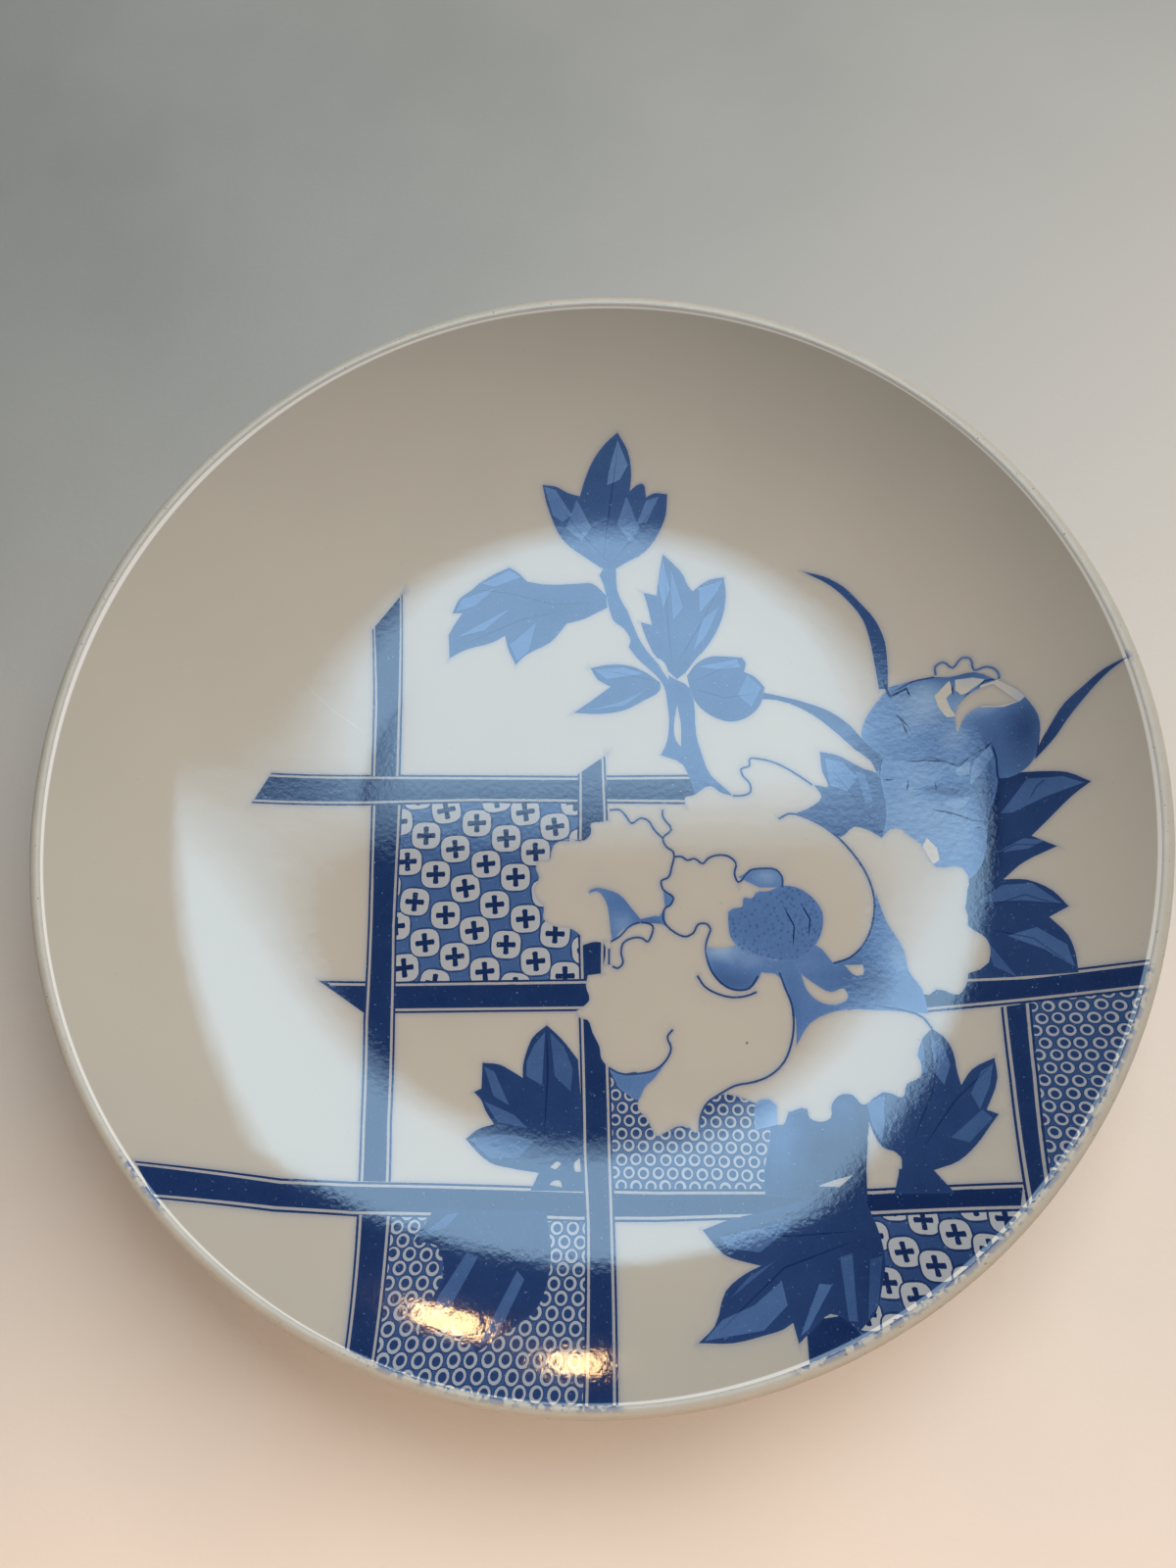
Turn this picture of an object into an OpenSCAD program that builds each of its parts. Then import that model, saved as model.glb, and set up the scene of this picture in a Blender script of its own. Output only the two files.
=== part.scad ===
// China dinner plate: a deep coupe-shaped porcelain dish on a turned foot ring, with an
// underglaze cobalt pattern of a garden fence, patterned panels, a peony, a bud and leaves.
// Origin: centre of the foot's resting edge, on the surface that the plate stands on. +Z up.
// The pattern is drawn in plan view, in millimetres, for a plate of pattern_d, and scales with it.

/* [Plate] */
// Outer diameter over the lip
plate_d = 305; // [290:1:320]
// Diameter of the flat floor inside
floor_d = 136; // [120:1:150]
// Height of the floor's glazed surface above the table
floor_z = 12.5; // [11:0.5:14]
// Radius of the wall's curve, from the flat floor up to the lip
wall_round = 117; // [114:0.5:117]
// Slope of the wall where it meets the lip, in degrees from horizontal
wall_slope = 43.5; // [42.5:0.1:43.5]
// Slope of the underside where it meets the lip, in degrees from horizontal
back_slope = 44.5; // [44:0.1:44.8]
// Radius of the rounded lip
lip_r = 2.1; // [1.8:0.1:2.4]

/* [Foot] */
// Outer diameter of the foot ring
foot_d = 170; // [160:1:176]
// Thickness of the foot ring
foot_t = 6.5; // [5:0.5:8]
// Width of the bare edge that the plate stands on
foot_land = 2.3; // [1.5:0.1:3]
// Height of the underside inside the foot ring
well_z = 6.5; // [6:0.1:7]
// Height above the table where the foot's glaze stops
bare_h = 2.2; // [1.8:0.1:3]

/* [Glaze and colour] */
// Thickness of the clear glaze
glaze_t = 0.35; // [0.25:0.05:0.5]
// How far a printed colour stands above the glaze around it
print_h = 0.05; // [0.03:0.01:0.1]
// Width of a pen line in the flower
pen_w = 0.6; // [0.5:0.1:0.9]

/* [Fence] */
// Width of the dark line along each edge of a bar
edge_w = 0.6; // [0.5:0.1:0.8]
// Width of the white line inside it
gap_w = 0.7; // [0.5:0.1:0.9]

/* [Hidden] */
$fn = 96;

plate_r = plate_d / 2;
floor_r = floor_d / 2;
foot_r = foot_d / 2;
pattern_d = 305;                       // the plate size that the pattern's points are drawn for
art = plate_d / pattern_d;
pattern_r = 148.9;                     // the pattern stops at the lip
arc_steps = 12;                        // straight steps in the wall's curve
lip_steps = 8;
smooth_steps = 3;                      // straight steps between two points of an outline
print_gap = 0.01;                      // clearance between two colours that meet
sliver = 0.08;                         // half the width of the narrowest strip that is kept
back_round = wall_round + 2;

white = [0.93, 0.92, 0.88];
clay = [0.86, 0.82, 0.75];
toasted = [0.76, 0.58, 0.42];
navy = [0.09, 0.15, 0.36];
mid_blue = [0.30, 0.42, 0.66];
leaf_blue = [0.17, 0.28, 0.55];
pale_blue = [0.45, 0.58, 0.77];

// ---- The plate's profile, as [radius, height] ----

function turn(a) = [sin(a), -cos(a)];
wall_foot = [floor_r, floor_z + wall_round] + wall_round * turn(wall_slope);
lip_x = plate_r - lip_r;
lip_z = wall_foot.y + (lip_x - lip_r * sin(wall_slope) - wall_foot.x) * tan(wall_slope)
    - lip_r * cos(wall_slope);
lip_c = [lip_x, lip_z];
back_end = lip_c + lip_r * turn(back_slope);
back_x = floor_r + back_round * sin(back_slope);
back_z = back_end.y - (back_end.x - back_x) * tan(back_slope) + back_round * cos(back_slope);

// The inside surface from the centre to the lip, moved into the clay by inset
function front_line(inset) = concat(
    [[0, floor_z - inset]],
    [for (i = [0:arc_steps])
        [floor_r, floor_z + wall_round] + (wall_round + inset) * turn(wall_slope * i / arc_steps)],
    [lip_c - (lip_r - inset) * turn(wall_slope)]);

// The outside surface from the lip down to radius r_end, moved into the clay by inset
function back_line(inset, r_end) =
    let (low = asin((r_end - floor_r) / (back_round - inset)))
    concat(
        [lip_c + (lip_r - inset) * turn(back_slope)],
        [for (i = [0:arc_steps]) let (a = back_slope + (low - back_slope) * i / arc_steps)
            [floor_r, back_z] + (back_round - inset) * turn(a)]);

// The lip's round, from the inside surface over to the outside
function lip_line(inset) =
    [for (i = [0:lip_steps]) let (a = 180 + wall_slope + (back_slope - 180 - wall_slope) * i / lip_steps)
        lip_c + (lip_r - inset) * turn(a)];

function reversed(p) = [for (i = [len(p) - 1:-1:0]) p[i]];

foot_top = back_line(glaze_t, foot_r)[arc_steps + 1].y;

// ---- Outlines: points are [x, y], or [x, y, 1] at a sharp corner ----

function xy(p) = [p.x, p.y] * art;
function along(a, b) = (xy(b) - xy(a)) / max(norm(xy(b) - xy(a)), 0.01);
function heading(a, b, c) =
    let (d = norm(xy(b) - xy(a)), e = norm(xy(c) - xy(b)))
    len(b) > 2 ? [0, 0] : (along(a, b) * e + along(b, c) * d) / (d + e);
function bend(a, b, ta, tb, t) =
    let (s = norm(xy(b) - xy(a)),
         u = len(a) > 2 ? along(a, b) : ta,
         v = len(b) > 2 ? along(a, b) : tb)
    (2 * t^3 - 3 * t^2 + 1) * xy(a) + (t^3 - 2 * t^2 + t) * s * u
    + (3 * t^2 - 2 * t^3) * xy(b) + (t^3 - t^2) * s * v;
function closed(p) = let (n = len(p))
    [for (i = [0:n - 1], k = [0:smooth_steps - 1])
        let (o = p[(i + n - 1) % n], a = p[i], b = p[(i + 1) % n], c = p[(i + 2) % n])
        bend(a, b, heading(o, a, b), heading(a, b, c), k / smooth_steps)];
function open(p) = let (n = len(p))
    concat([for (i = [0:n - 2], k = [0:smooth_steps - 1])
        let (a = p[i], b = p[i + 1],
             ta = i > 0 ? heading(p[i - 1], a, b) : along(a, b),
             tb = i < n - 2 ? heading(a, b, p[i + 2]) : along(a, b))
        bend(a, b, ta, tb, k / smooth_steps)], [xy(p[n - 1])]);

module shape(p) polygon(closed(p));
module straight(p) polygon([for (q = p) xy(q)]);

// A pen line of width w along points p, with a square end
module stroke(p, w = pen_w) {
    line = open(p);
    n = len(line);
    side = [for (i = [0:n - 1])
        let (d = line[min(i + 1, n - 1)] - line[max(i - 1, 0)])
        [-d.y, d.x] / norm(d) * w / 2];
    polygon(concat([for (i = [0:n - 1]) line[i] + side[i]],
        reversed([for (i = [0:n - 1]) line[i] - side[i]])));
}

// The strip of a bar between distances a and b from its first edge; a negative distance counts
// back from the second edge. A bar is a list of stations [x, y, x, y] across it.
function inset_points(bar, a) = [for (s = bar)
    let (p = [s[0], s[1]], q = [s[2], s[3]], w = norm(q - p), d = a < 0 ? w + a : a)
    p + (q - p) * d / w];
module strip(bar, a, b)
    straight(concat(inset_points(bar, a), reversed(inset_points(bar, b))));
module bar_body(bar) strip(bar, 0, -0.001);

// The bar drawn out by half a millimetre past both ends, so that a gap runs right through them
function beyond(a, b) = b + (b - a) / norm(b - a) / 2;
function longer(bar) = let (n = len(bar))
    concat([beyond(bar[1], bar[0])], [for (i = [1:1:n - 2]) bar[i]], [beyond(bar[n - 2], bar[n - 1])]);
module bar_gaps(bar) {
    strip(longer(bar), edge_w, edge_w + gap_w);
    strip(longer(bar), -edge_w - gap_w, -edge_w);
}

// ---- The fence: stations across each bar, in the order of its length ----

fence_top_left = [[-67.5, 60, -58.5, 71.5], [-66.5, 37, -57.5, 37], [-66, 14, -57, 14]];
fence_left = [[-65.5, 5, -56, 5.2], [-64.5, -31, -56, -31], [-64, -58, -55, -58],
    [-62, -86, -53.5, -86], [-60.5, -100.9, -52, -101.05]];
fence_low_left = [[-59.5, -109, -50.5, -109.5], [-56, -138, -48, -142]];
fence_upper = [[-95.5, 14.5, -100.5, 5], [-66, 14.5, -66, 5], [-35, 14, -35, 5.5], [-3.5, 13.5, -3.5, 5]];
fence_upper_right = [[5, 13.5, 5, 5], [33, 13.5, 33, 4.5]];
fence_stub = [[-3.5, 14, 4.5, 19.5], [-3.5, 0, 5.5, 0], [-3.5, -6, 5.5, -6]];
fence_middle = [[-56, -47, -56, -56], [-28, -46.5, -28, -55.5], [2, -46, 2, -55]];
fence_middle_right = [[60, -44, 60, -56], [89, -46, 89, -55.5], [117, -45.5, 117, -53],
    [143, -43, 141, -50.5]];
fence_short = [[-3, -32, 5, -32], [-2.5, -46, 5, -46]];
fence_centre = [[-2.5, -56.5, 6, -56.5], [-1, -94, 7.5, -94], [0.5, -111, 8.5, -111],
    [2.5, -151, 11, -150]];
fence_right = [[110.5, -54, 117.5, -53], [110, -72, 116.5, -72], [108.5, -103, 114, -103]];
fence_bottom = [[-113.5, -95, -107, -104], [-80, -100, -80, -108], [-62, -101, -59.5, -109.5],
    [-2, -102, -2, -110.5], [20, -102, 20, -110], [54, -101, 54, -108], [75, -100, 75, -106.5],
    [109, -96.5, 107, -103]];
fence_tip = [[-77.5, -47], [-64, -47], [-64, -56]];
fence_stump = [[56, -130], [65, -128], [69, -132], [68, -137], [56, -141]];
fence_posts = [fence_top_left, fence_left, fence_low_left, fence_stub, fence_short, fence_centre,
    fence_right];
fence_rails = [fence_upper, fence_upper_right, fence_middle, fence_middle_right, fence_bottom];

// ---- Panels between the bars ----

cross_panel_left = [[-57, 6], [-2, 6], [2, -5], [-2, -34], [-2, -47], [-57, -47]];
cross_panel_right = [[73, -105], [109, -102], [114, -106], [72, -138], [66, -134]];
ring_panel_centre = [[6, -70], [16, -72], [34, -77], [52, -77], [52, -103], [6, -103]];
ring_panel_left = [[-53, -109], [2, -109], [4, -152], [-52, -152]];
ring_panel_right = [[115, -52], [145, -49], [150, -60], [112, -102]];

// ---- The peony: white petals kept clear of the fence ----

petals = [[39, 10], [35, 10], [32, 9.5], [31, 7.5], [28, 6.5], [28, 4.5, 1], [22, 4.5, 1], [6, 4.5, 1],
    [5.5, 0], [3.5, -0.5], [0.5, -1], [0.5, -4], [-1.5, -6], [-4.5, -5.5], [-8, -6], [-10, -7],
    [-11, -9], [-11.5, -11.5], [-15, -12], [-15.5, -14], [-14.5, -17], [-16, -20], [-15.5, -22.5],
    [-13, -25.5], [-13, -29], [-10, -31], [-4.5, -32], [-2.5, -33.5], [-1.5, -36.5, 1], [2, -35.5],
    [4.5, -36], [4.5, -42], [4, -44.5, 1], [0, -45, 1], [-0.5, -48], [0.5, -52], [-1.5, -54],
    [-3.5, -55.5], [-2, -57], [0, -57.5], [1.5, -61], [3.5, -65], [4, -68], [6, -70.5, 1], [9, -72],
    [15, -72], [16, -75], [14.5, -78.5], [14.5, -82], [16.5, -83.5], [18, -86.5], [19.5, -88.5],
    [22, -87.5], [25, -86], [28, -86], [30, -87.5], [31, -86.5, 1], [31.5, -83], [33.5, -79.5],
    [36.5, -77.5], [43.5, -78.5], [46.5, -79.5], [50, -78.5], [52, -80.5], [52, -85], [53.5, -85],
    [55, -82], [60, -81], [60.5, -83], [64, -84], [66, -83], [66.5, -79.5], [69, -77], [72, -77],
    [74.5, -79.5], [76.5, -78.5], [78, -76.5], [82, -76.5], [84.5, -77.5], [86, -74], [89.5, -72],
    [90, -69], [89, -65.5], [89, -62], [93.5, -59.5, 1], [91.5, -56.5], [86.5, -54.5], [80.5, -53.5],
    [70, -54], [75, -42], [88, -42], [88.5, -44], [90, -48], [93.5, -50.5], [95.5, -49], [101, -50.5],
    [103, -48], [104.5, -43.5], [108, -42.5], [109.5, -40], [109, -35.5], [104.5, -32.5],
    [105, -30.5], [104.5, -25.5], [106, -18], [104.5, -15.5], [98, -15], [94.5, -11.5], [94.5, -8],
    [91, -6.5], [90, -4], [86.5, -3.5], [83.5, -6], [80, -4], [76.5, -2], [68, -2], [62, 3], [60, 12],
    [48, 18], [44, 7]];

// Pen lines: petal edges, folds and curls
petal_lines = [
    [[6, 3], [9, 3], [10.5, 1.5], [12.5, -1], [15, 0.5], [17, 0], [19, -3], [21.5, -5.5]],
    [[21.5, 3], [21.5, 1], [24, -3], [21.5, -5.5], [22.5, -8], [24.5, -9.5], [24, -14], [23, -17],
        [21, -18], [21.5, -20.5], [24.5, -23], [23.5, -25], [22, -26], [21.5, -29], [25, -33], [28, -34],
        [30, -33], [31.5, -30.5], [34, -30.5], [35, -32]],
    [[24.5, -11], [27, -11], [28.5, -12], [30.5, -11.5], [33, -13], [34.5, -11.5], [38, -10.5],
        [40.5, -11], [42.5, -13], [42, -16], [43, -18.5], [46.5, -15], [50, -14.5], [54, -15],
        [55.5, -17], [55.5, -20]],
    [[6.5, -35.5], [9, -34], [12, -31], [15, -30], [18.5, -31], [18, -34], [17, -35.5], [15.5, -34.5],
        [12.5, -34.5], [10, -36], [9.5, -39], [10, -41.5], [8.5, -43], [7, -42.5]],
    [[6, -37.5], [6, -42]],
    [[35, -32], [33.5, -36.5], [34, -41], [35.5, -44.5], [39, -48], [42, -49], [45.5, -48.5], [48, -45]],
    [[31, -45], [33, -48], [36.5, -50], [40.5, -51], [45, -50.5], [47.5, -49.5]],
    [[42, 7], [44.5, 7], [47, 8], [47, 10.5], [45, 13], [44.5, 15], [47, 16], [47, 18], [50, 18],
        [55, 16.5], [59.5, 14], [65, 10]],
    [[55, 0], [58, 1.5], [63.5, 0], [70, -4], [75.5, -10], [79.5, -17], [81, -23.5], [80.5, -29],
        [78, -35.5], [73.5, -40], [69, -41.5]],
    [[6, -70.5], [9, -72], [15, -72], [19, -71], [22, -68.5], [23.5, -65], [22.5, -62], [24, -60]],
    [[54, -44], [55.5, -48.5], [57, -52.5], [57.5, -58], [56.5, -64], [54.5, -68.5], [50, -72.5],
        [46, -74], [41, -75], [36.5, -77.5], [33.5, -79.5], [31.5, -83], [31, -86.5]],
    [[55, -82], [60, -81]],
    [[80.5, -53.5], [86.5, -54.5], [91.5, -56.5], [93.5, -59.5]]];

peony_heart = [[40, -27, 1], [41.5, -26], [44, -25.5], [44.5, -23], [47, -23], [48, -21.5], [51.5, -21],
    [55.5, -19.5], [59.5, -20], [64, -23], [66.5, -27], [66.5, -31], [64.5, -36], [61.5, -39],
    [57.5, -40.5], [50, -40], [45, -39], [42.5, -37], [40.5, -34], [40, -30.5]];

// Soft blue washes: a petal's turned edge, the curl's shade, and the ground behind the petals
petal_fold = [[0, -21.5, 1], [0.5, -20.5, 1], [2, -20], [5.5, -20.5], [9, -22], [12.5, -26],
    [15, -29, 1], [21, -28.5], [22, -30.5, 1], [15, -30, 1], [10, -32], [7, -35.5, 1], [6.5, -33],
    [6, -28.5], [5, -24], [2.5, -21]];
petal_pockets = [[[21.5, -20, 1], [24.5, -23], [22, -26, 1]], [[22, -26, 1], [20, -29.5], [22, -31, 1]],
    [[43, -17, 1], [47, -15], [51, -14.5], [55, -16], [55.5, -20, 1], [49, -20, 1]]];
curl_shade = [[34, -37, 1], [38, -37.5], [42, -36.5, 1], [45, -39], [49, -40, 1], [49, -44],
    [45.5, -48.5], [42, -49], [39, -48], [35.5, -44.5], [34, -41]];
ground_wash = [[45, -39, 1], [57, -40.5], [64.5, -36.5], [69, -41.5, 1], [73.5, -40], [78, -35.5],
    [80.5, -29], [81.5, -22, 1], [84, -30], [88, -38], [89, -44], [92, -49], [93, -55.5, 1],
    [80, -54.5], [70, -54.5], [62, -58], [58, -64, 1], [58, -57], [57, -52.5], [55.5, -48.5],
    [53, -44.5], [49, -44]];
under_fold = [[6, -70.5, 1], [9, -72], [15, -72], [19, -71], [22, -68.5], [19, -73], [16, -76],
    [14.5, -79], [9, -76, 1]];
square_patch = [[46, -81, 1], [46.5, -79.5], [50, -78.5], [52, -80, 1], [52, -85, 1], [46, -86.5, 1]];

// White islands left inside the wash, the leaves and the branch
islands = [
    [[60, -44.5, 1], [64, -47.5], [68, -49.5], [71.5, -48.5], [72.5, -51], [69, -53], [64.5, -52],
        [61.5, -49]],
    [[72, -42, 1], [77, -42, 1], [77, -44.5], [75, -45]],
    [[75, -87, 1], [77, -89.5], [80, -91], [82.5, -92], [82.5, -95, 1], [74.5, -95.5, 1]],
    [[61.5, -100, 1], [65.5, -98.5], [70.5, -97, 1], [67, -100, 1]],
    [[-9.5, -97, 1], [-7.5, -95.5], [-6.5, -96, 1], [-8, -97.5]],
    [[-3, -96], [-1.5, -94.5, 1], [-1, -98, 1], [-2.5, -98]],
    [[-9.5, -101.5, 1], [-8.5, -100.5], [-6.5, -100.5], [-6, -102, 1]],
    [[26, 35, 1], [27, 29], [27, 22, 1], [25.5, 24], [25, 29]],
    [[19.5, 50, 1], [21.5, 46], [23.5, 43, 1], [23.5, 45], [21, 49.5]],
    [[15, 62, 1], [16.5, 57], [19.5, 50, 1], [16, 54.5], [14, 58.5], [13, 61.5, 1]]];

// ---- The bud, its calyx and the long blades ----

bud = [[87.5, 38, 1], [90, 38.5], [95.5, 39.5], [100, 40], [104, 39.5], [110.5, 40], [116.5, 36.5, 1],
    [121, 33], [123.5, 29.5], [125.5, 25], [125.5, 19], [124.5, 14.5], [122, 11], [118, 9],
    [114.5, 9, 1], [114.5, 14], [113.5, 18.5, 1], [110, 17.5], [107, 15], [104.5, 13, 1], [102.5, 15],
    [98, 16], [86, 17], [81.5, 19.5], [79.5, 24], [80.5, 28.5], [84.5, 34.5]];
bud_reserve = [[105, 28, 1], [106, 31], [109, 34], [115, 36, 1], [120, 31], [121, 30, 1], [116, 29.5],
    [112, 30], [108, 28], [105.5, 23, 1]];
bud_lines = [
    [[100.5, 40.5], [100.5, 43], [102.5, 44], [105, 42], [107.5, 44.5], [109.5, 44], [110.5, 40.5],
        [113.5, 41], [116, 39.5], [116.5, 37], [114.5, 36]],
    [[87.5, 38], [95.5, 39.5], [100, 40]]];
calyx = [[81.5, 19.5, 1], [86, 17], [98, 16], [102.5, 15], [104.5, 13, 1], [107, 15], [110, 17.5],
    [113.5, 18.5, 1], [114.5, 14], [115, 8], [112, -2], [110, -14], [106, -19], [98, -15], [94, -8],
    [88, -4], [84, -6], [85.5, 0], [85, 7.5], [83.5, 13]];
blade_up = [[64, 75, 1], [70, 73], [75.5, 69.5], [80, 64.5], [84.5, 58.5], [87, 52], [87.5, 47],
    [87.5, 38, 1], [85, 38, 1], [84, 45.5], [83, 52], [81, 59], [76.5, 65.5], [72, 70]];
blade_right = [[145.5, 36.5, 1], [140, 34.5], [135.5, 31], [131.5, 27.5], [128, 22], [125.5, 17.5],
    [124, 13, 1], [129, 18.5], [132, 23], [135.5, 27.5], [141, 33.5]];
blade_left = [[49, 39, 1], [55.5, 37.5], [65.5, 34.5], [71, 32], [76.5, 27.5], [80.5, 22.5], [85, 18, 1],
    [83.5, 13, 1], [82, 16.5], [77.5, 20.5], [72, 26], [65.5, 31.5], [55.5, 36], [49, 36.5, 1]];

// ---- Branch and leaves ----

branch = [[3.5, 79, 1], [2.5, 77, 1], [3.5, 74.5], [4.5, 70.5], [5.5, 66], [7, 62], [10, 59.5],
    [12, 55.5], [11.5, 53.5, 1], [14, 50], [17.5, 46.5], [20, 44], [22, 41], [23, 36], [23.5, 28],
    [22.5, 22.5], [21, 19.5, 1], [27.5, 16.5], [29, 13.5], [31, 7.5, 1], [35.5, 10], [38.5, 8],
    [42, 7, 1], [39, 10], [35.5, 13.5], [33, 20], [31.5, 26], [31, 36], [30, 40], [24, 44], [20, 48.5],
    [15.5, 54.5], [12.5, 61.5], [11, 65.5, 1], [9.5, 68], [8, 72], [7.5, 79, 1]];
leaf_top = [[3.5, 79, 1], [-1.5, 82.5], [-7, 86.5], [-10, 90], [-11.5, 93, 1], [-14, 100], [-15, 105, 1],
    [-11, 104.5], [-7, 102.5], [-3.5, 101.5, 1], [-2, 106], [1, 112], [5, 116.5], [8.5, 119, 1],
    [11.5, 114], [12.5, 107], [12, 102.5, 1], [14, 104], [16, 104.5], [17, 100.5, 1], [19.5, 101.5],
    [23.5, 101, 1], [23, 95], [21, 90], [16.5, 84], [10, 80.5], [7.5, 79, 1]];
leaf_left = [[5, 66.5, 1], [2, 65], [-2, 63], [-7.5, 61.5, 1], [-12.5, 55.5], [-20, 51.5], [-23, 48.5, 1],
    [-25.5, 54], [-26.5, 58, 1], [-30, 56], [-39, 53.5], [-43.5, 51, 1], [-44, 58.5, 1], [-42.5, 61.5, 1],
    [-40, 65.5, 1], [-43, 65.5, 1], [-41, 70], [-37, 73, 1], [-35, 75, 1], [-30, 78], [-25.5, 80, 1],
    [-23, 78.5], [-20, 75.5, 1], [-15, 74.5], [-4, 74.5], [0, 74.5], [4.5, 70.5, 1]];
leaf_upper_right = [[23.5, 45.5, 1], [20, 50], [16.5, 55.5], [15, 61.5, 1], [18.5, 60.5, 1],
    [17.5, 65.5], [16, 71, 1], [20, 70, 1], [20.5, 74.5], [22, 83, 1], [25.5, 79.5], [28, 76.5],
    [29.5, 73], [31, 71, 1], [33.5, 73], [36.5, 74.5], [40.5, 75, 1], [41, 69], [40, 63], [38, 58],
    [35, 53], [31.5, 49], [28.5, 45, 1], [26, 43, 1]];
leaf_small_left = [[21, 42, 1], [16.5, 45.5], [12, 47.5], [5, 48], [0, 47, 1], [2, 43.5], [6, 41, 1],
    [0, 36.5], [-5, 33, 1], [3, 32.5], [10, 33.5], [16, 36.5], [21, 40]];
leaf_small_right = [[29, 44, 1], [32, 48], [36, 50], [40, 50], [45.5, 49.5, 1], [46.5, 48], [46, 45, 1],
    [49, 43.5], [52, 40, 1], [50.5, 34.5], [46, 30.5], [42, 29.5], [36, 31.5], [32, 35], [30, 39, 1]];
leaf_bud_left = [[67.5, 20, 1], [72, 19], [76.5, 16.5], [80, 14.5], [83.5, 13], [85, 7.5], [85.5, 0],
    [84, -6, 1], [80, -3.5], [76.5, -2.5], [72.5, -5.5], [68, -2.5], [63.5, 0], [60, 1.5], [63.5, 3],
    [67.5, 6.5], [65.5, 10, 1], [69.5, 9.5], [68, 14]];
leaf_right_upper = [[121, 10, 1], [126.5, 9.5], [131, 8.5], [136, 5, 1], [132, 2], [126.5, -3.5],
    [122, -8, 1], [127.5, -11.5, 1], [119, -15.5], [114.5, -19.5, 1], [108, -24], [106, -30], [106, -18],
    [110, -10], [111, 0], [114.5, 9, 1]];
leaf_right_lower = [[106, -20, 1], [114.5, -19.5], [120, -20], [125.5, -23.5], [128.5, -28, 1],
    [124, -30.5, 1], [127.5, -35.5], [128.5, -40], [128.5, -45.5, 1], [117, -46], [100, -46, 1],
    [109, -42], [109, -35.5], [105, -32]];
leaf_centre = [[-11.5, -59, 1], [-15.5, -62.5], [-17, -66], [-18, -70], [-18, -73.5, 1], [-21.5, -71.5],
    [-24.5, -70], [-29.5, -69.5, 1], [-29.5, -72.5], [-29.5, -76.5, 1], [-31.5, -77.5, 1],
    [-29.5, -79.5], [-28, -82.5], [-25.5, -86, 1], [-30, -87.5], [-33, -90, 1], [-30.5, -92.5],
    [-26, -96], [-19.5, -97.5], [-12.5, -98.5, 1], [-14.5, -103, 1], [0, -103, 1], [0, -98, 1],
    [-1.5, -80], [-2.5, -68.5, 1], [-7.5, -62.5]];
leaf_hanging = [[-40, -108, 1], [-44, -115.5, 1], [-38, -116.5], [-35.5, -124], [-37.5, -128.5],
    [-39.5, -136.5, 1], [-31, -134], [-24.5, -139.5, 1], [-20, -136.5], [-15.5, -134], [-10.5, -130],
    [-8.5, -124.5], [-8, -120], [-9.5, -110], [-10, -108, 1]];
leaf_low_right = [[93.5, -59.5, 1], [96.5, -62], [98, -65.5], [98.5, -71], [99, -74, 1], [102, -70],
    [107.5, -67, 1], [107.5, -72], [104, -80, 1], [106.5, -81, 1], [104.5, -83.5], [100.5, -88.5],
    [96, -92.5], [90, -95, 1], [94, -100, 1], [80, -101, 1], [82, -94], [82, -91.5], [78.5, -90],
    [76, -85], [75, -80], [80, -76], [88, -70], [91, -62]];
leaf_low_body = [[50, -83, 1], [60, -80], [68, -75], [76, -77, 1], [75.5, -85], [74, -95],
    [73.5, -103, 1], [48, -103, 1], [48, -97], [50, -88]];
leaf_low = [[31.5, -111.5, 1], [38, -109], [50, -106], [60, -103, 1], [73, -103, 1], [75.5, -110.5],
    [76, -116], [74.5, -121.5], [72.5, -126.5], [68.5, -130.5, 1], [62, -128], [58, -131],
    [54, -134.5, 1], [53, -130.5, 1], [50.5, -132], [46, -133.5], [38.5, -135.5], [30, -136, 1],
    [34, -132.5], [37, -125], [42, -121], [46, -119, 1], [43, -118.5], [37, -117]];

// ---- Layers, from the top one down. Each one keeps clear of those above it. ----

module all_shapes(list) for (p = list) shape(p);

module island_art() all_shapes(islands);
module branch_art() shape(branch);
module sprig_art() all_shapes([leaf_top, leaf_left, leaf_upper_right, leaf_small_left, leaf_small_right,
    leaf_bud_left]);
module blade_art() all_shapes([blade_up, blade_right, blade_left]);
module bud_art() {
    difference() {
        shape(bud);
        shape(bud_reserve);
    }
    for (p = bud_lines) stroke(p);
}
module pen_art() for (p = petal_lines) stroke(p);
module heart_art() shape(peony_heart);
module wash_art() {
    all_shapes(petal_pockets);
    all_shapes([petal_fold, curl_shade, ground_wash, under_fold, square_patch]);
}
module petal_art() shape(petals);
module calyx_art() shape(calyx);
module right_leaf_art() all_shapes([leaf_right_upper, leaf_right_lower]);
module centre_leaf_art() shape(leaf_centre);
module hanging_leaf_art() shape(leaf_hanging);
module lower_leaf_art() all_shapes([leaf_low_right, leaf_low_body, leaf_low]);
module post_art() {
    for (b = fence_posts) bar_body(b);
    straight(fence_stump);
}
module rail_art() {
    for (b = fence_rails) bar_body(b);
    straight(fence_tip);
}
module post_gap_art() for (b = fence_posts) bar_gaps(b);
module rail_gap_art() {
    for (b = fence_rails) bar_gaps(b);
    straight([[-75, -47.6], [-64, -47.6], [-64, -48.3], [-74, -48.3]]);
}

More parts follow.
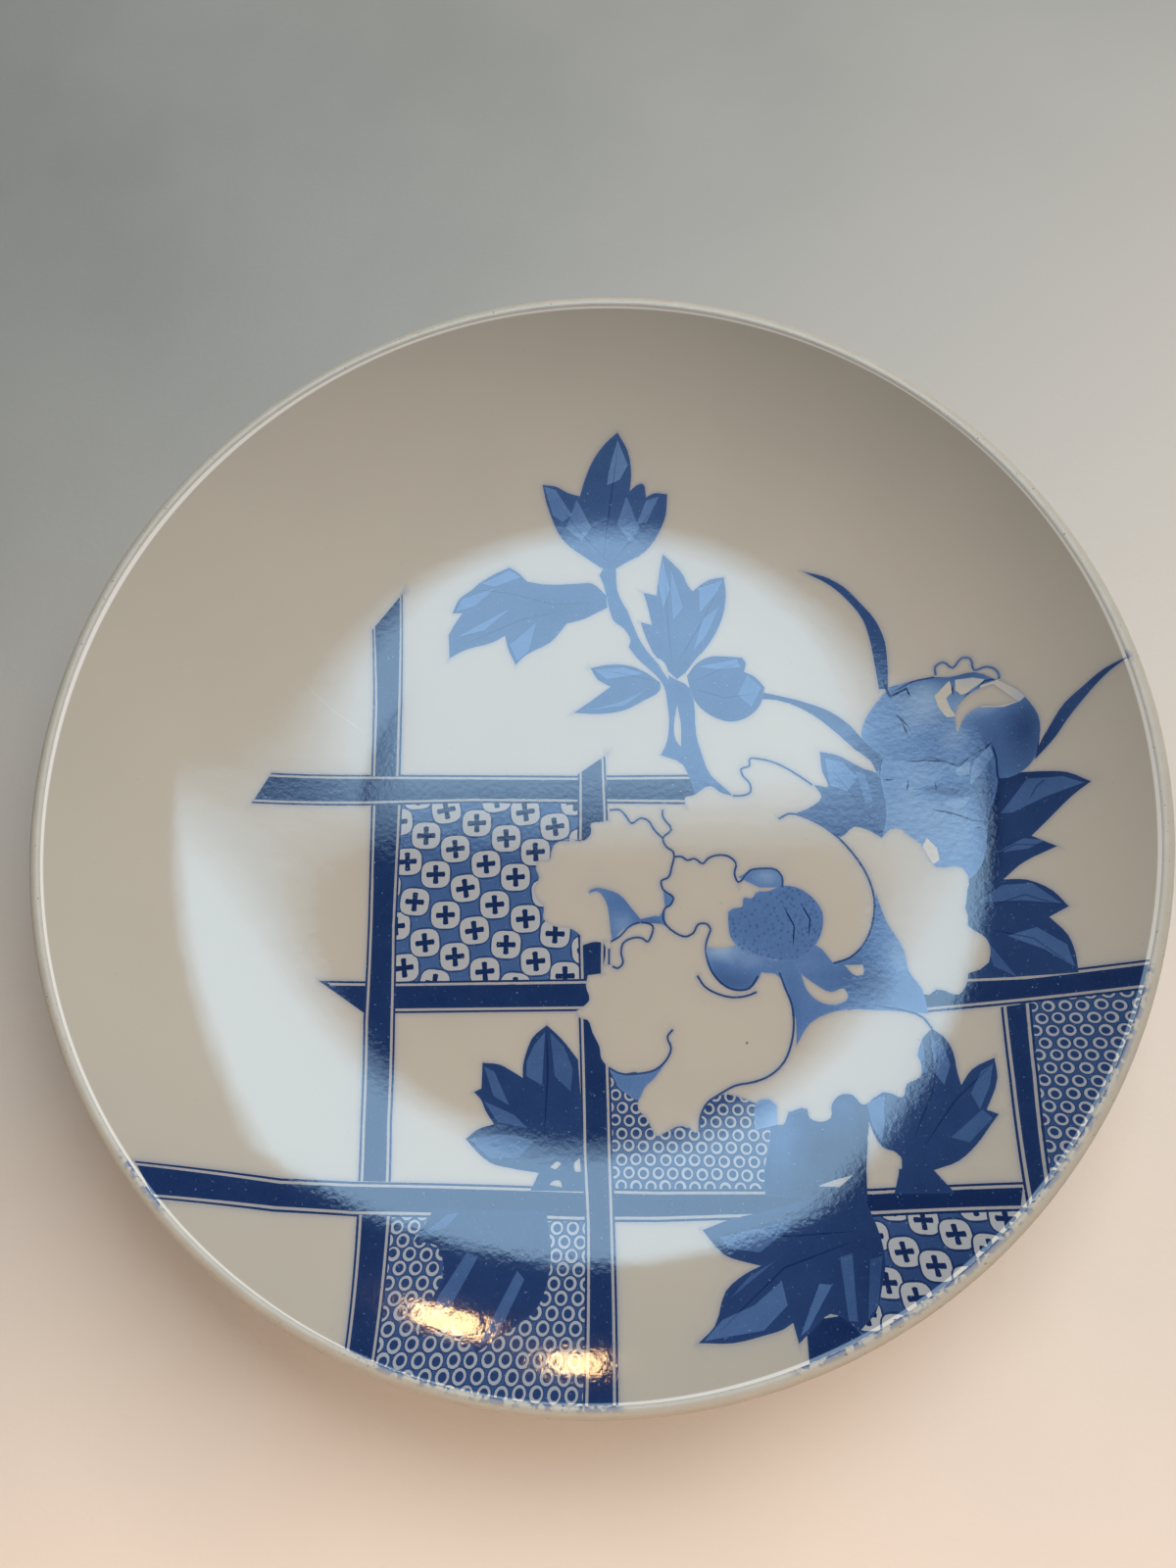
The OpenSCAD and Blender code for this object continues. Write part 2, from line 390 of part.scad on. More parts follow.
module level(n) {
    if (n == 0) island_art();
    if (n == 1) branch_art();
    if (n == 2) sprig_art();
    if (n == 3) blade_art();
    if (n == 4) bud_art();
    if (n == 5) pen_art();
    if (n == 6) heart_art();
    if (n == 7) wash_art();
    if (n == 8) petal_art();
    if (n == 9) shape(bud_reserve);
    if (n == 10) calyx_art();
    if (n == 11) right_leaf_art();
    if (n == 12) centre_leaf_art();
    if (n == 13) hanging_leaf_art();
    if (n == 14) lower_leaf_art();
    if (n == 15) post_art();
    if (n == 16) rail_art();
    if (n == 17) panels_art();
}
module panels_art() for (p = [cross_panel_left, cross_panel_right, ring_panel_centre, ring_panel_left,
    ring_panel_right]) straight(p);

// One layer cut back from every layer above it and from the lip
module clear_of_above(n)
    offset(delta = sliver - print_gap) offset(delta = -sliver)
        difference() {
            intersection() {
                children();
                circle(r = pattern_r * art, $fn = 240);
            }
            for (k = [0:n - 1]) level(k);
        }

// A printed colour: the flat shape, cut from the layer of glaze on the inside surface
module printed(n)
    intersection() {
        linear_extrude(height = plate_r) clear_of_above(n) children();
        rotate_extrude() polygon(concat(front_line(-print_h), reversed(front_line(glaze_t))));
    }

// ---- Sub-parts ----

module porcelain_body() color(clay)
    rotate_extrude() polygon(concat(
        front_line(glaze_t), lip_line(glaze_t), back_line(glaze_t, foot_r),
        [[foot_r - foot_t, well_z], [0, well_z]]));

module foot_ring() color(toasted) {
    mid = foot_r - foot_t / 2;
    rotate_extrude() polygon([[foot_r, foot_top], [foot_r - foot_t, well_z], [foot_r - foot_t, 1.8],
        [mid - foot_land / 2 - 1, 0.4], [mid - foot_land / 2, 0], [mid + foot_land / 2, 0],
        [mid + foot_land / 2 + 1, 0.4], [foot_r, 1.8]]);
}

module front_glaze() color(white)
    rotate_extrude() polygon(concat(front_line(0), reversed(front_line(glaze_t))));

module lip_glaze() color(white)
    rotate_extrude() polygon(concat(lip_line(0), reversed(lip_line(glaze_t))));

module back_glaze() color(white) {
    outer = back_line(0, foot_r);
    inner = back_line(glaze_t, foot_r);
    rotate_extrude() polygon(concat(outer, [[foot_r + glaze_t, outer[arc_steps + 1].y],
        [foot_r + glaze_t, bare_h], [foot_r, bare_h]], reversed(inner)));
}

module foot_well_glaze() color(white) {
    r = foot_r - foot_t;
    rotate_extrude() polygon([[0, well_z], [r, well_z], [r, bare_h], [r - glaze_t, bare_h],
        [r - glaze_t, well_z - glaze_t], [0, well_z - glaze_t]]);
}

module cobalt_fence_posts() color(navy)
    printed(15) difference() {
        post_art();
        post_gap_art();
    }
module cobalt_fence_rails() color(navy)
    printed(16) difference() {
        rail_art();
        rail_gap_art();
    }
module cobalt_cross_panels() color(mid_blue) printed(17) {
    straight(cross_panel_left);
    straight(cross_panel_right);
}
module cobalt_ring_panels() color(mid_blue) printed(17) {
    straight(ring_panel_centre);
    straight(ring_panel_left);
    straight(ring_panel_right);
}
module cobalt_peony_lines() color(navy) printed(5) pen_art();
module cobalt_peony_heart() color(mid_blue) printed(6) heart_art();
module cobalt_peony_wash() color(mid_blue) printed(7) wash_art();
module cobalt_bud() color(leaf_blue) printed(4) bud_art();
module cobalt_calyx() color(pale_blue) printed(10) calyx_art();
module cobalt_blades() color(leaf_blue) printed(3) blade_art();
module cobalt_branch() color(leaf_blue) printed(1) branch_art();
module cobalt_sprig_leaves() color(leaf_blue) printed(2) sprig_art();
module cobalt_right_leaves() color(navy) printed(11) right_leaf_art();
module cobalt_centre_leaves() color(navy) printed(12) centre_leaf_art();
module cobalt_hanging_leaf() color(navy) printed(13) hanging_leaf_art();
module cobalt_lower_leaves() color(navy) printed(14) lower_leaf_art();

porcelain_body();
foot_ring();
front_glaze();
lip_glaze();
back_glaze();
foot_well_glaze();
cobalt_fence_posts();
cobalt_fence_rails();
cobalt_cross_panels();
cobalt_ring_panels();
cobalt_peony_lines();
cobalt_peony_heart();
cobalt_peony_wash();
cobalt_bud();
cobalt_calyx();
cobalt_blades();
cobalt_branch();
cobalt_sprig_leaves();
cobalt_right_leaves();
cobalt_centre_leaves();
cobalt_lower_leaves();
cobalt_hanging_leaf();
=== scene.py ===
import math

import bpy
import numpy as np
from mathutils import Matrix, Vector
from mathutils.bvhtree import BVHTree
from mathutils.geometry import delaunay_2d_cdt
from mathutils.kdtree import KDTree


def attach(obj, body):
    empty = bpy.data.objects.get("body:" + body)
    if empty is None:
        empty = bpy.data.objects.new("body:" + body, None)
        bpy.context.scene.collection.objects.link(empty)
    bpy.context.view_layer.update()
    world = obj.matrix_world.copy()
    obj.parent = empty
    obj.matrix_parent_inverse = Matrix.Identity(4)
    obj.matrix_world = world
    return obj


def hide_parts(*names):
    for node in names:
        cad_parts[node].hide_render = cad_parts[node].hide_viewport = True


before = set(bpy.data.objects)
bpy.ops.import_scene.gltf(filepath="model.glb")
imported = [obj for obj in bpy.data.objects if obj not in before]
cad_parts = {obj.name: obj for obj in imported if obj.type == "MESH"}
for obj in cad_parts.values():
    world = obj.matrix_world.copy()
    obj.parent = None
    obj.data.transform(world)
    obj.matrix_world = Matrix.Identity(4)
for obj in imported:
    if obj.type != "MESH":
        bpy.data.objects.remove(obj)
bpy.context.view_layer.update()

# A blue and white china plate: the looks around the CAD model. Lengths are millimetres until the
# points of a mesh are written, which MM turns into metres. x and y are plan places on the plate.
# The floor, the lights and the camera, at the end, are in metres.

# ---- Sizes: the CAD model's driving dimensions ----

MM = 0.001
PLATE_R = 152.5
FLOOR_R = 68.0
FLOOR_Z = 12.5
WALL_ROUND = 117.0
WALL_SLOPE = math.radians(43.5)
BACK_ROUND = 119.0
BACK_SLOPE = math.radians(44.5)
LIP_R = 2.1
FOOT_R = 85.0
FOOT_T = 6.5
FOOT_LAND = 2.3
WELL_Z = 6.5
BARE_H = 2.2
GLAZE = 0.35
COLOUR_T = 0.3                    # thickness of a printed colour's coat
SPIN_STEPS = 360
WARP_LIFT = 0.35                  # how far the kiln moved the rim up and down
WARP_GROW = 0.0016                # and how far out of round, as a share of the radius
PAINTED_HIGHLIGHT_RADII = (148.1, 148.4)         # radii between which a painted highlight fades in: a pale line along the lip's inner edge, where the printed pattern ends
STRAIGHT_PARTS = 6                # points of the short straight bit between a wall's curve and the lip

LIP_X = PLATE_R - LIP_R
INSIDE_R = LIP_X - LIP_R * math.sin(WALL_SLOPE)


def inside_height(r):
    """Height of the glazed inside surface at radius r."""
    a = np.arcsin(np.clip((r - FLOOR_R) / WALL_ROUND, 0, math.sin(WALL_SLOPE)))
    wall_start = FLOOR_R + WALL_ROUND * math.sin(WALL_SLOPE)
    return (FLOOR_Z + WALL_ROUND * (1 - np.cos(a))
            + np.maximum(r - wall_start, 0) * math.tan(WALL_SLOPE))


LIP_Z = float(inside_height(INSIDE_R)) - LIP_R * math.cos(WALL_SLOPE)
BACK_X = FLOOR_R + BACK_ROUND * math.sin(BACK_SLOPE)
BACK_Z = (LIP_Z - LIP_R * math.cos(BACK_SLOPE)
          - (LIP_X + LIP_R * math.sin(BACK_SLOPE) - BACK_X) * math.tan(BACK_SLOPE)
          + BACK_ROUND * math.cos(BACK_SLOPE))


def warp(points):
    """Moves points as the kiln moved the plate: the rim waves a little and is a little out of round."""
    x, y, z = points.T
    r = np.hypot(x, y)
    t = np.arctan2(y, x)
    share = np.clip((r - FOOT_R) / (PLATE_R - FOOT_R), 0, 1) ** 1.5
    lift = WARP_LIFT * (np.cos(2 * t - 0.6) + 0.5 * np.cos(3 * t + 1.1) + 0.3 * np.cos(7 * t))
    grow = WARP_GROW * (np.cos(2 * t + 0.9) + 0.4 * np.cos(5 * t - 0.4)) - 0.6 * WARP_GROW
    return np.stack([x * (1 + grow * share), y * (1 + grow * share), z + lift * share], 1)


def on_inside(xy, sink=0.0):
    """Points of the warped inside surface, sink below it."""
    z = inside_height(np.hypot(xy[:, 0], xy[:, 1])) - sink
    return warp(np.column_stack([xy, z]))


def inside_normals(xy, step=0.2):
    """Unit normals of the warped inside surface."""
    along_x = on_inside(xy + (step, 0)) - on_inside(xy - (step, 0))
    along_y = on_inside(xy + (0, step)) - on_inside(xy - (0, step))
    n = np.cross(along_x, along_y)
    return n / np.linalg.norm(n, axis=1, keepdims=True)


# ---- Material helpers ----

class Nodes:
    """A material's node tree with one Principled shader, and short calls to add to it."""

    def __init__(self, name):
        self.material = bpy.data.materials.new(name)
        self.material.use_nodes = True
        self.tree = self.material.node_tree
        self.shader = self.tree.nodes["Principled BSDF"]
        self.place = self.add("ShaderNodeTexCoord").outputs["Object"]

    def add(self, kind, **settings):
        node = self.tree.nodes.new(kind)
        for key, value in settings.items():
            setattr(node, key, value)
        return node

    def feed(self, socket, value):
        if isinstance(value, bpy.types.NodeSocket):
            self.tree.links.new(value, socket)
        elif isinstance(value, tuple) and len(value) == 3 and socket.type == "RGBA":
            socket.default_value = (*value, 1)
        else:
            socket.default_value = value

    def attribute(self, name):
        return self.add("ShaderNodeAttribute", attribute_name=name).outputs["Fac"]

    def noise(self, size_mm, detail=3.0, rough=0.5):
        """A noise from 0 to 1 whose features are about size_mm across."""
        node = self.add("ShaderNodeTexNoise")
        self.feed(node.inputs["Vector"], self.place)
        node.inputs["Scale"].default_value = 1 / (size_mm * MM)
        node.inputs["Detail"].default_value = detail
        node.inputs["Roughness"].default_value = rough
        return node.outputs["Fac"]

    def cells(self, size_mm):
        """Distance to the nearest of some points strewn about size_mm apart."""
        node = self.add("ShaderNodeTexVoronoi", feature="F1")
        self.feed(node.inputs["Vector"], self.place)
        node.inputs["Scale"].default_value = 1 / (size_mm * MM)
        return node.outputs["Distance"]

    def maths(self, operation, a, b=0.0):
        node = self.add("ShaderNodeMath", operation=operation)
        self.feed(node.inputs[0], a)
        self.feed(node.inputs[1], b)
        return node.outputs["Value"]

    def between(self, value, low, high, to_low=0.0, to_high=1.0):
        """value from low to high, eased to to_low and to_high."""
        node = self.add("ShaderNodeMapRange", interpolation_type="SMOOTHSTEP")
        self.feed(node.inputs["Value"], value)
        for key, number in (("From Min", low), ("From Max", high), ("To Min", to_low), ("To Max", to_high)):
            node.inputs[key].default_value = number
        return node.outputs["Result"]

    def mix(self, share, a, b):
        node = self.add("ShaderNodeMix", data_type="RGBA")
        self.feed(node.inputs["Factor"], share)
        self.feed(node.inputs["A"], a)
        self.feed(node.inputs["B"], b)
        return node.outputs["Result"]

    def ramp(self, value, stops):
        node = self.add("ShaderNodeValToRGB")
        self.feed(node.inputs["Fac"], value)
        line = node.color_ramp.elements
        while len(line) < len(stops):
            line.new(0.5)
        for element, (at, colour) in zip(line, stops):
            element.position = at
            element.color = (*colour, 1)
        return node.outputs["Color"]

    def radius(self):
        """Distance from the plate's axis, in millimetres."""
        parts = self.add("ShaderNodeSeparateXYZ")
        self.feed(parts.inputs[0], self.place)
        square = self.maths("ADD", self.maths("POWER", parts.outputs["X"], 2.0),
                            self.maths("POWER", parts.outputs["Y"], 2.0))
        return self.maths("MULTIPLY", self.maths("SQRT", square), 1 / MM)

    def bump(self, height, distance_mm, strength=1.0, under=None):
        node = self.add("ShaderNodeBump")
        self.feed(node.inputs["Height"], height)
        node.inputs["Distance"].default_value = distance_mm * MM
        node.inputs["Strength"].default_value = strength
        if under:
            self.feed(node.inputs["Normal"], under)
        return node.outputs["Normal"]

    def glazed(self, colour, roughness=0.35, gloss=0.07, peel=0.006):
        """Finishes the shader as fired glaze: a clear coat over the colour, with orange peel."""
        s = self.shader.inputs
        self.feed(s["Base Color"], colour)
        s["Specular IOR Level"].default_value = 0.0
        s["Coat Weight"].default_value = 1.0
        s["Coat Roughness"].default_value = gloss
        s["Coat IOR"].default_value = 1.52
        self.feed(s["Roughness"], roughness)
        skin = self.bump(self.noise(9.0, 2.0), 0.05, 0.5)
        skin = self.bump(self.noise(1.6, 2.0), peel, 1.0, skin)
        self.feed(s["Normal"], skin)
        self.feed(s["Coat Normal"], skin)
        return self.material


NAVY = (0.002, 0.018, 0.092)
DEEP = (0.022, 0.060, 0.185)
MIDDLE = (0.085, 0.180, 0.400)
PALE = (0.250, 0.390, 0.600)
WHITE = (0.540, 0.520, 0.460)
# the next colour is a painted highlight: the pale line along the lip's inner edge
PAINTED_HIGHLIGHT_WHITE = (0.860, 0.860, 0.830)
BROWN = (0.160, 0.085, 0.040)


def cobalt_material(name, mottle=0.10, dots=0.0):
    """Colour under the glaze. The tone attribute runs from 0, the darkest, to 1, bare porcelain."""
    m = Nodes(name)
    tone = m.attribute("tone")
    cloud = m.maths("SUBTRACT", m.noise(7.0, 4.0, 0.6), 0.5)
    grain = m.maths("SUBTRACT", m.noise(0.55, 3.0, 0.7), 0.5)
    change = m.maths("ADD", m.maths("MULTIPLY", cloud, mottle), m.maths("MULTIPLY", grain, mottle * 1.2))
    tone = m.maths("ADD", tone, change)
    if dots:
        tone = m.maths("SUBTRACT", tone, m.between(m.cells(1.35), 0.45, 0.15, 0.0, dots))
    colour = m.ramp(tone, [(0.0, NAVY), (0.22, DEEP), (0.5, MIDDLE), (0.78, PALE), (1.0, WHITE)])
    flecks = m.between(m.noise(0.9, 2.0, 0.6), 0.68, 0.75, 0.0, 0.55)
    colour = m.mix(flecks, colour, PALE)
    # painted highlight: a pale line along the lip's inner edge, laid over the blue
    painted_highlight_line = m.between(m.radius(), *PAINTED_HIGHLIGHT_RADII, 0.0, 0.8)
    colour = m.mix(painted_highlight_line, colour, PALE)
    return m.glazed(colour, peel=0.022)


def porcelain_material(name, painted_highlight=0.0):
    """Bare porcelain under clear glaze. The ink attribute is the blue that bled out of the pattern, soil
    is dirt, and the last argument is the strength of a painted highlight, a pale line along the lip's inner
    edge."""
    m = Nodes(name)
    cloud = m.noise(38.0, 3.0, 0.55)
    colour = m.mix(cloud, (0.635, 0.612, 0.530), (0.580, 0.562, 0.490))
    freckles = m.between(m.noise(1.1, 2.0), 0.72, 0.80, 0.0, 0.35)
    colour = m.mix(freckles, colour, (0.42, 0.37, 0.29))
    ink = m.attribute("ink")
    colour = m.mix(ink, colour, m.mix(m.between(ink, 0.6, 1.0), MIDDLE, NAVY))
    colour = m.mix(m.attribute("soil"), colour, BROWN)
    # painted highlight: a pale line along the lip's inner edge
    colour = m.mix(m.between(m.radius(), *PAINTED_HIGHLIGHT_RADII, 0.0, painted_highlight), colour, PAINTED_HIGHLIGHT_WHITE)
    return m.glazed(colour, m.between(m.noise(12.0), 0.3, 0.7, 0.30, 0.42))


def lip_material(name):
    """The lip's glaze: pitted, brown in patches along its outer edge, with the pattern's last dashes."""
    m = Nodes(name)
    colour = m.mix(m.noise(5.0, 3.0), (0.53, 0.50, 0.43), (0.44, 0.41, 0.34))
    pinholes = m.between(m.noise(0.9, 2.0, 0.6), 0.68, 0.74, 0.0, 0.8)
    colour = m.mix(pinholes, colour, BROWN)
    dashes = m.maths("MULTIPLY", m.attribute("ink"), m.between(m.noise(2.2, 2.0), 0.44, 0.54))
    colour = m.mix(dashes, colour, DEEP)
    # a patchy brown band along the lip's outer edge
    brown_edge = m.maths("MULTIPLY", m.attribute("edge"), m.between(m.noise(14.0, 3.0, 0.6), 0.35, 0.60))
    colour = m.mix(brown_edge, colour, BROWN)
    return m.glazed(colour, m.between(m.noise(2.0), 0.3, 0.7, 0.35, 0.6), gloss=0.42, peel=0.02)


def clay_material(name, colour_a, colour_b, grit=0.06):
    """Bare fired clay: matt, gritty and toasted."""
    m = Nodes(name)
    toast = m.noise(11.0, 4.0, 0.6)
    colour = m.mix(toast, colour_a, colour_b)
    specks = m.between(m.noise(0.7, 2.0), 0.66, 0.74, 0.0, 0.7)
    colour = m.mix(specks, colour, BROWN)
    m.feed(m.shader.inputs["Base Color"], colour)
    m.feed(m.shader.inputs["Roughness"], m.between(m.noise(1.5), 0.3, 0.7, 0.75, 0.95))
    rough = m.bump(m.noise(0.5, 4.0, 0.7), grit, 1.0)
    m.feed(m.shader.inputs["Normal"], rough)
    return m.material


# ---- Mesh helpers ----

def new_piece(name, points, faces, material, replaces, attributes=None, corner_normals=None):
    """Makes a piece from points in millimetres, lets it ride with the plate, and hides the CAD part it
    replaces.
    """
    mesh = bpy.data.meshes.new(name)
    mesh.from_pydata((np.asarray(points) * MM).tolist(), [], faces)
    for key, (domain, values) in (attributes or {}).items():
        layer = mesh.attributes.new(key, "FLOAT", domain)
        layer.data.foreach_set("value", np.asarray(values, np.float32))
    mesh.shade_smooth()
    if corner_normals is not None:
        mesh.normals_split_custom_set(corner_normals.tolist())
    else:
        mesh.set_sharp_from_angle(angle=math.radians(38))
    mesh.materials.append(material)
    piece = bpy.data.objects.new(name, mesh)
    bpy.context.scene.collection.objects.link(piece)
    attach(piece, "root")
    if replaces:
        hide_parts(replaces)
    return piece


def arc(centre, radius, start, end, steps):
    """Points [r, z] of an arc. Angle 0 points straight down and grows outward."""
    turns = [start + (end - start) * i / steps for i in range(steps + 1)]
    return [(centre[0] + radius * math.sin(a), centre[1] - radius * math.cos(a)) for a in turns]


def lathe(outline):
    """Spins a closed outline of [r, z] points around the axis. Returns warped points and faces."""
    points, faces, rings = [], [], []
    turns = 2 * math.pi * np.arange(SPIN_STEPS) / SPIN_STEPS
    for r, z in outline:
        first = len(points)
        if r < 1e-6:
            points.append((0.0, 0.0, z))
            rings.append([first] * SPIN_STEPS)
        else:
            points += [(r * math.cos(a), r * math.sin(a), z) for a in turns]
            rings.append([first + i for i in range(SPIN_STEPS)])
    for low, high in zip(rings, rings[1:] + rings[:1]):
        if low[0] == low[1] and high[0] == high[1]:
            continue
        for i in range(SPIN_STEPS):
            j = (i + 1) % SPIN_STEPS
            corners = [low[i], low[j], high[j], high[i]]
            faces.append(list(dict.fromkeys(corners)))
    return warp(np.array(points)), faces


# ---- The plate's profile ----

WALL_STEPS = 24                   # straight steps in each wall's curve
LIP_STEPS = 14                    # and around the lip


def straight(start, end):
    """Points evenly along a line, from start up to end."""
    start, end = np.array(start), np.array(end)
    return [tuple(start + (end - start) * k / STRAIGHT_PARTS) for k in range(STRAIGHT_PARTS + 1)]


def lip_point(angle, inset):
    """A point of the lip's round. Angle 0 points straight down and grows outward."""
    return (LIP_X + (LIP_R - inset) * math.sin(angle), LIP_Z - (LIP_R - inset) * math.cos(angle))


def front_line(inset):
    """The inside surface from the axis to the lip, moved into the clay by inset."""
    round_part = arc((FLOOR_R, FLOOR_Z + WALL_ROUND), WALL_ROUND + inset, 0, WALL_SLOPE, WALL_STEPS)
    flat = [(r, FLOOR_Z - inset) for r in (0.0, 20.0, 40.0, 56.0)]
    return flat + round_part + straight(round_part[-1], lip_point(WALL_SLOPE + math.pi, inset))[1:]


def lip_line(inset):
    """The lip's round, from the inside surface over to the outside."""
    return arc((LIP_X, LIP_Z), LIP_R - inset, math.pi + WALL_SLOPE, BACK_SLOPE, LIP_STEPS)


def back_line(inset):
    """The outside surface from the lip down to the foot ring."""
    low = math.asin((FOOT_R - FLOOR_R) / (BACK_ROUND - inset))
    round_part = arc((FLOOR_R, BACK_Z), BACK_ROUND - inset, BACK_SLOPE, low, WALL_STEPS)
    return straight(lip_point(BACK_SLOPE, inset), round_part[0])[:-1] + round_part


# ---- Pattern: tones inside the painted leaves, and the panels' diaper patterns ----

# Patches inside the painted shapes, as (change of tone, outline): above 0 is lighter
FACETS = [
    (0.26, [(8.5, 117), (7, 113), (5.5, 108), (5, 104.5), (9, 106), (11.5, 110)]),
    (0.22, [(-14.5, 104.5), (-11, 103.5), (-6, 96), (-9, 94), (-12, 96)]),
    (0.22, [(14, 92.5), (17, 99.5), (21, 100.5), (17, 93)]),
    (0.20, [(-4.5, 100.5), (0, 92), (-3, 88), (-8, 92)]),
    (0.20, [(11, 101), (8, 93), (12, 87), (15, 91)]),
    (0.20, [(-34, 75), (-25.5, 79), (-22, 77), (-30, 74)]),
    (0.18, [(-42, 66), (-40, 70), (-30, 73.5), (-36, 68)]),
    (0.22, [(-41, 58), (-25, 67), (-33, 60)]),
    (0.18, [(-25, 55), (-17, 62), (-19, 53), (-22.5, 50)]),
    (0.20, [(22, 81.5), (20.5, 74), (22, 66), (24, 72)]),
    (0.16, [(24.5, 78), (28, 66), (25, 62), (24.5, 70)]),
    (0.20, [(40, 74), (33, 72), (33, 64), (38, 70)]),
    (0.18, [(39, 66), (35, 57), (31, 52), (34, 62)]),
    (0.20, [(1, 46.5), (10, 47), (16, 45), (5, 43.5)]),
    (0.18, [(-3, 33.5), (8, 36), (17, 40), (10, 35)]),
    (0.20, [(32.5, 47), (44, 49), (45, 46.5), (38, 46)]),
    (0.16, [(47, 44), (51, 40), (48, 34), (44, 38)]),
    (0.22, [(69, 18), (74, 16.5), (78, 12), (75, 8), (70, 10)]),
    (0.16, [(77.5, 14), (80, 13), (82, 5), (80, 4)]),
    (0.22, [(-12, -61), (-15, -64.5), (-17, -69), (-17, -73), (-12.5, -75.5)]),
    (0.18, [(-10.5, -61), (-6.5, -65), (-4, -71), (-4.5, -77), (-9, -73)]),
    (0.20, [(-29, -70.5), (-26, -72), (-21.5, -81), (-26, -78.5)]),
    (0.20, [(-28.5, -80), (-20, -83.5), (-16, -87), (-24.5, -85.5)]),
    (0.20, [(-32, -90), (-24, -88.5), (-14, -90), (-18, -94.5), (-26, -95)]),
    (0.24, [(-30, -118), (-27, -119), (-33, -131), (-37.5, -133), (-36, -128)]),
    (0.24, [(-16.5, -122), (-14.5, -124), (-20, -136), (-24.5, -138), (-21, -131)]),
    (0.20, [(-43, -114.5), (-36, -109), (-33, -108.5), (-36, -112)]),
    (0.22, [(115, -1), (122, 8), (130, 7.5), (134.5, 5), (126, 2.5), (118, -1)]),
    (0.20, [(113, -12), (120, -8.5), (125, -9.5), (121, -11.5)]),
    (0.20, [(108, -25.5), (114, -21), (121, -21), (127, -27), (118, -25.5)]),
    (0.22, [(114, -35), (121, -33), (127, -38), (128, -44), (122, -39)]),
    (0.16, [(109, -36), (112, -41), (115, -46), (110, -43)]),
    (0.22, [(93, -62), (96, -64), (97, -69), (95, -74), (93, -71)]),
    (0.18, [(107, -68.5), (104, -70.5), (101, -76), (102.5, -80), (105.5, -74)]),
    (0.16, [(95, -87), (103, -80), (105, -82), (99, -88)]),
    (0.22, [(75.5, -79), (80, -77), (79.5, -84), (78.5, -89), (76.5, -85)]),
    (0.22, [(88.5, -62), (91, -63), (91, -71), (88.5, -72), (82, -74.5), (83, -77)]),
    (0.22, [(36, -113), (52, -109), (54, -110), (46, -116), (38, -115.5)]),
    (0.24, [(31.5, -135.5), (46, -132.5), (52, -127), (51, -122), (44, -127.5), (36, -131)]),
    (0.16, [(38, -126.5), (50, -117.5), (43, -121.5)]),
    (0.26, [(54.5, -133), (56.5, -131.5), (63, -122), (60, -122)]),
    (0.20, [(66, -129), (68, -129), (68.5, -115), (65.5, -116)]),
    (0.16, [(70.5, -128), (73, -125.5), (75.5, -115), (72.5, -116)]),
    # the bud's bare folds, a notch below it, then the sepal's facets
    (0.48, [(104, 38.5), (105, 35.5), (103, 33.5), (104, 30.5), (105.5, 28), (103, 28), (101, 31),
            (100, 34.5)]),
    (0.48, [(105.5, 38.5), (110, 38.5), (113, 37.5), (111.5, 36), (109, 34.5), (107, 34), (105.5, 35.5)]),
    (0.48, [(112, 36), (117, 37), (121, 34), (123, 31.5), (121.5, 30), (117.5, 29), (114, 29.5), (110, 30)]),
    (0.48, [(96, -6.5), (98.5, -9.5), (99, -13), (96.5, -14.5), (94.5, -12), (95, -8.5)]),
    (0.16, [(109.5, 14.5), (113.5, 18.5), (114.5, 16), (110.5, 10.5), (108, 7.5), (108.5, 11.5)]),
    (0.14, [(105, 13), (108.5, 14.5), (108, 11), (105.5, 10.5), (104.5, 11.5)]),
    (0.12, [(100.5, 3.5), (104, 4.5), (108, 4.5), (106.5, 2), (104, 1)]),
    (-0.10, [(92, 8), (99, 8), (108, 6.5), (105.5, 5), (102, 5.5)]),
]
# The leaves' darker middle lines, as (width, points)
DARK_VEINS = [
    (0.5, [(-11.5, -60.5), (-11, -72), (-11.5, -90)]),
    (0.5, [(122, 2), (124, 5.5), (127, 8)]),
    (0.4, [(3.5, 79.5), (4.5, 90), (6.5, 103), (8.5, 115)]),
    (0.4, [(5.5, 81), (-3, 90), (-10, 99)]),
    (0.4, [(6.5, 81), (14, 90), (20, 98.5)]),
    (0.4, [(2, 68), (-12, 68), (-26, 72), (-36, 73)]),
    (0.4, [(-8, 66), (-22, 63), (-39, 55.5)]),
    (0.4, [(24.5, 47), (23.5, 60), (22.5, 79)]),
    (0.4, [(25.5, 47), (33, 60), (39, 72)]),
    (0.4, [(20, 42.5), (12, 44.5), (3, 46.5)]),
    (0.4, [(19, 40.5), (8, 36), (-2, 33.5)]),
    (0.4, [(31, 42), (39, 46), (45, 48)]),
    (0.4, [(31, 40), (40, 37), (49, 38)]),
    (0.4, [(84, -4), (77, 6), (69, 17)]),
    (0.4, [(110, -14), (118, -10), (126, -11)]),
    (0.4, [(110, -27), (119, -24), (127, -27.5)]),
    (0.4, [(110, -33), (120, -36), (127.5, -43.5)]),
    (0.4, [(88, -90), (97, -78), (107, -68.5)]),
    (0.4, [(86, -88), (92, -76), (95, -63)]),
    (0.4, [(70, -112), (52, -119), (34, -134.5)]),
    (0.4, [(70, -110), (54, -112), (36, -112)]),
]
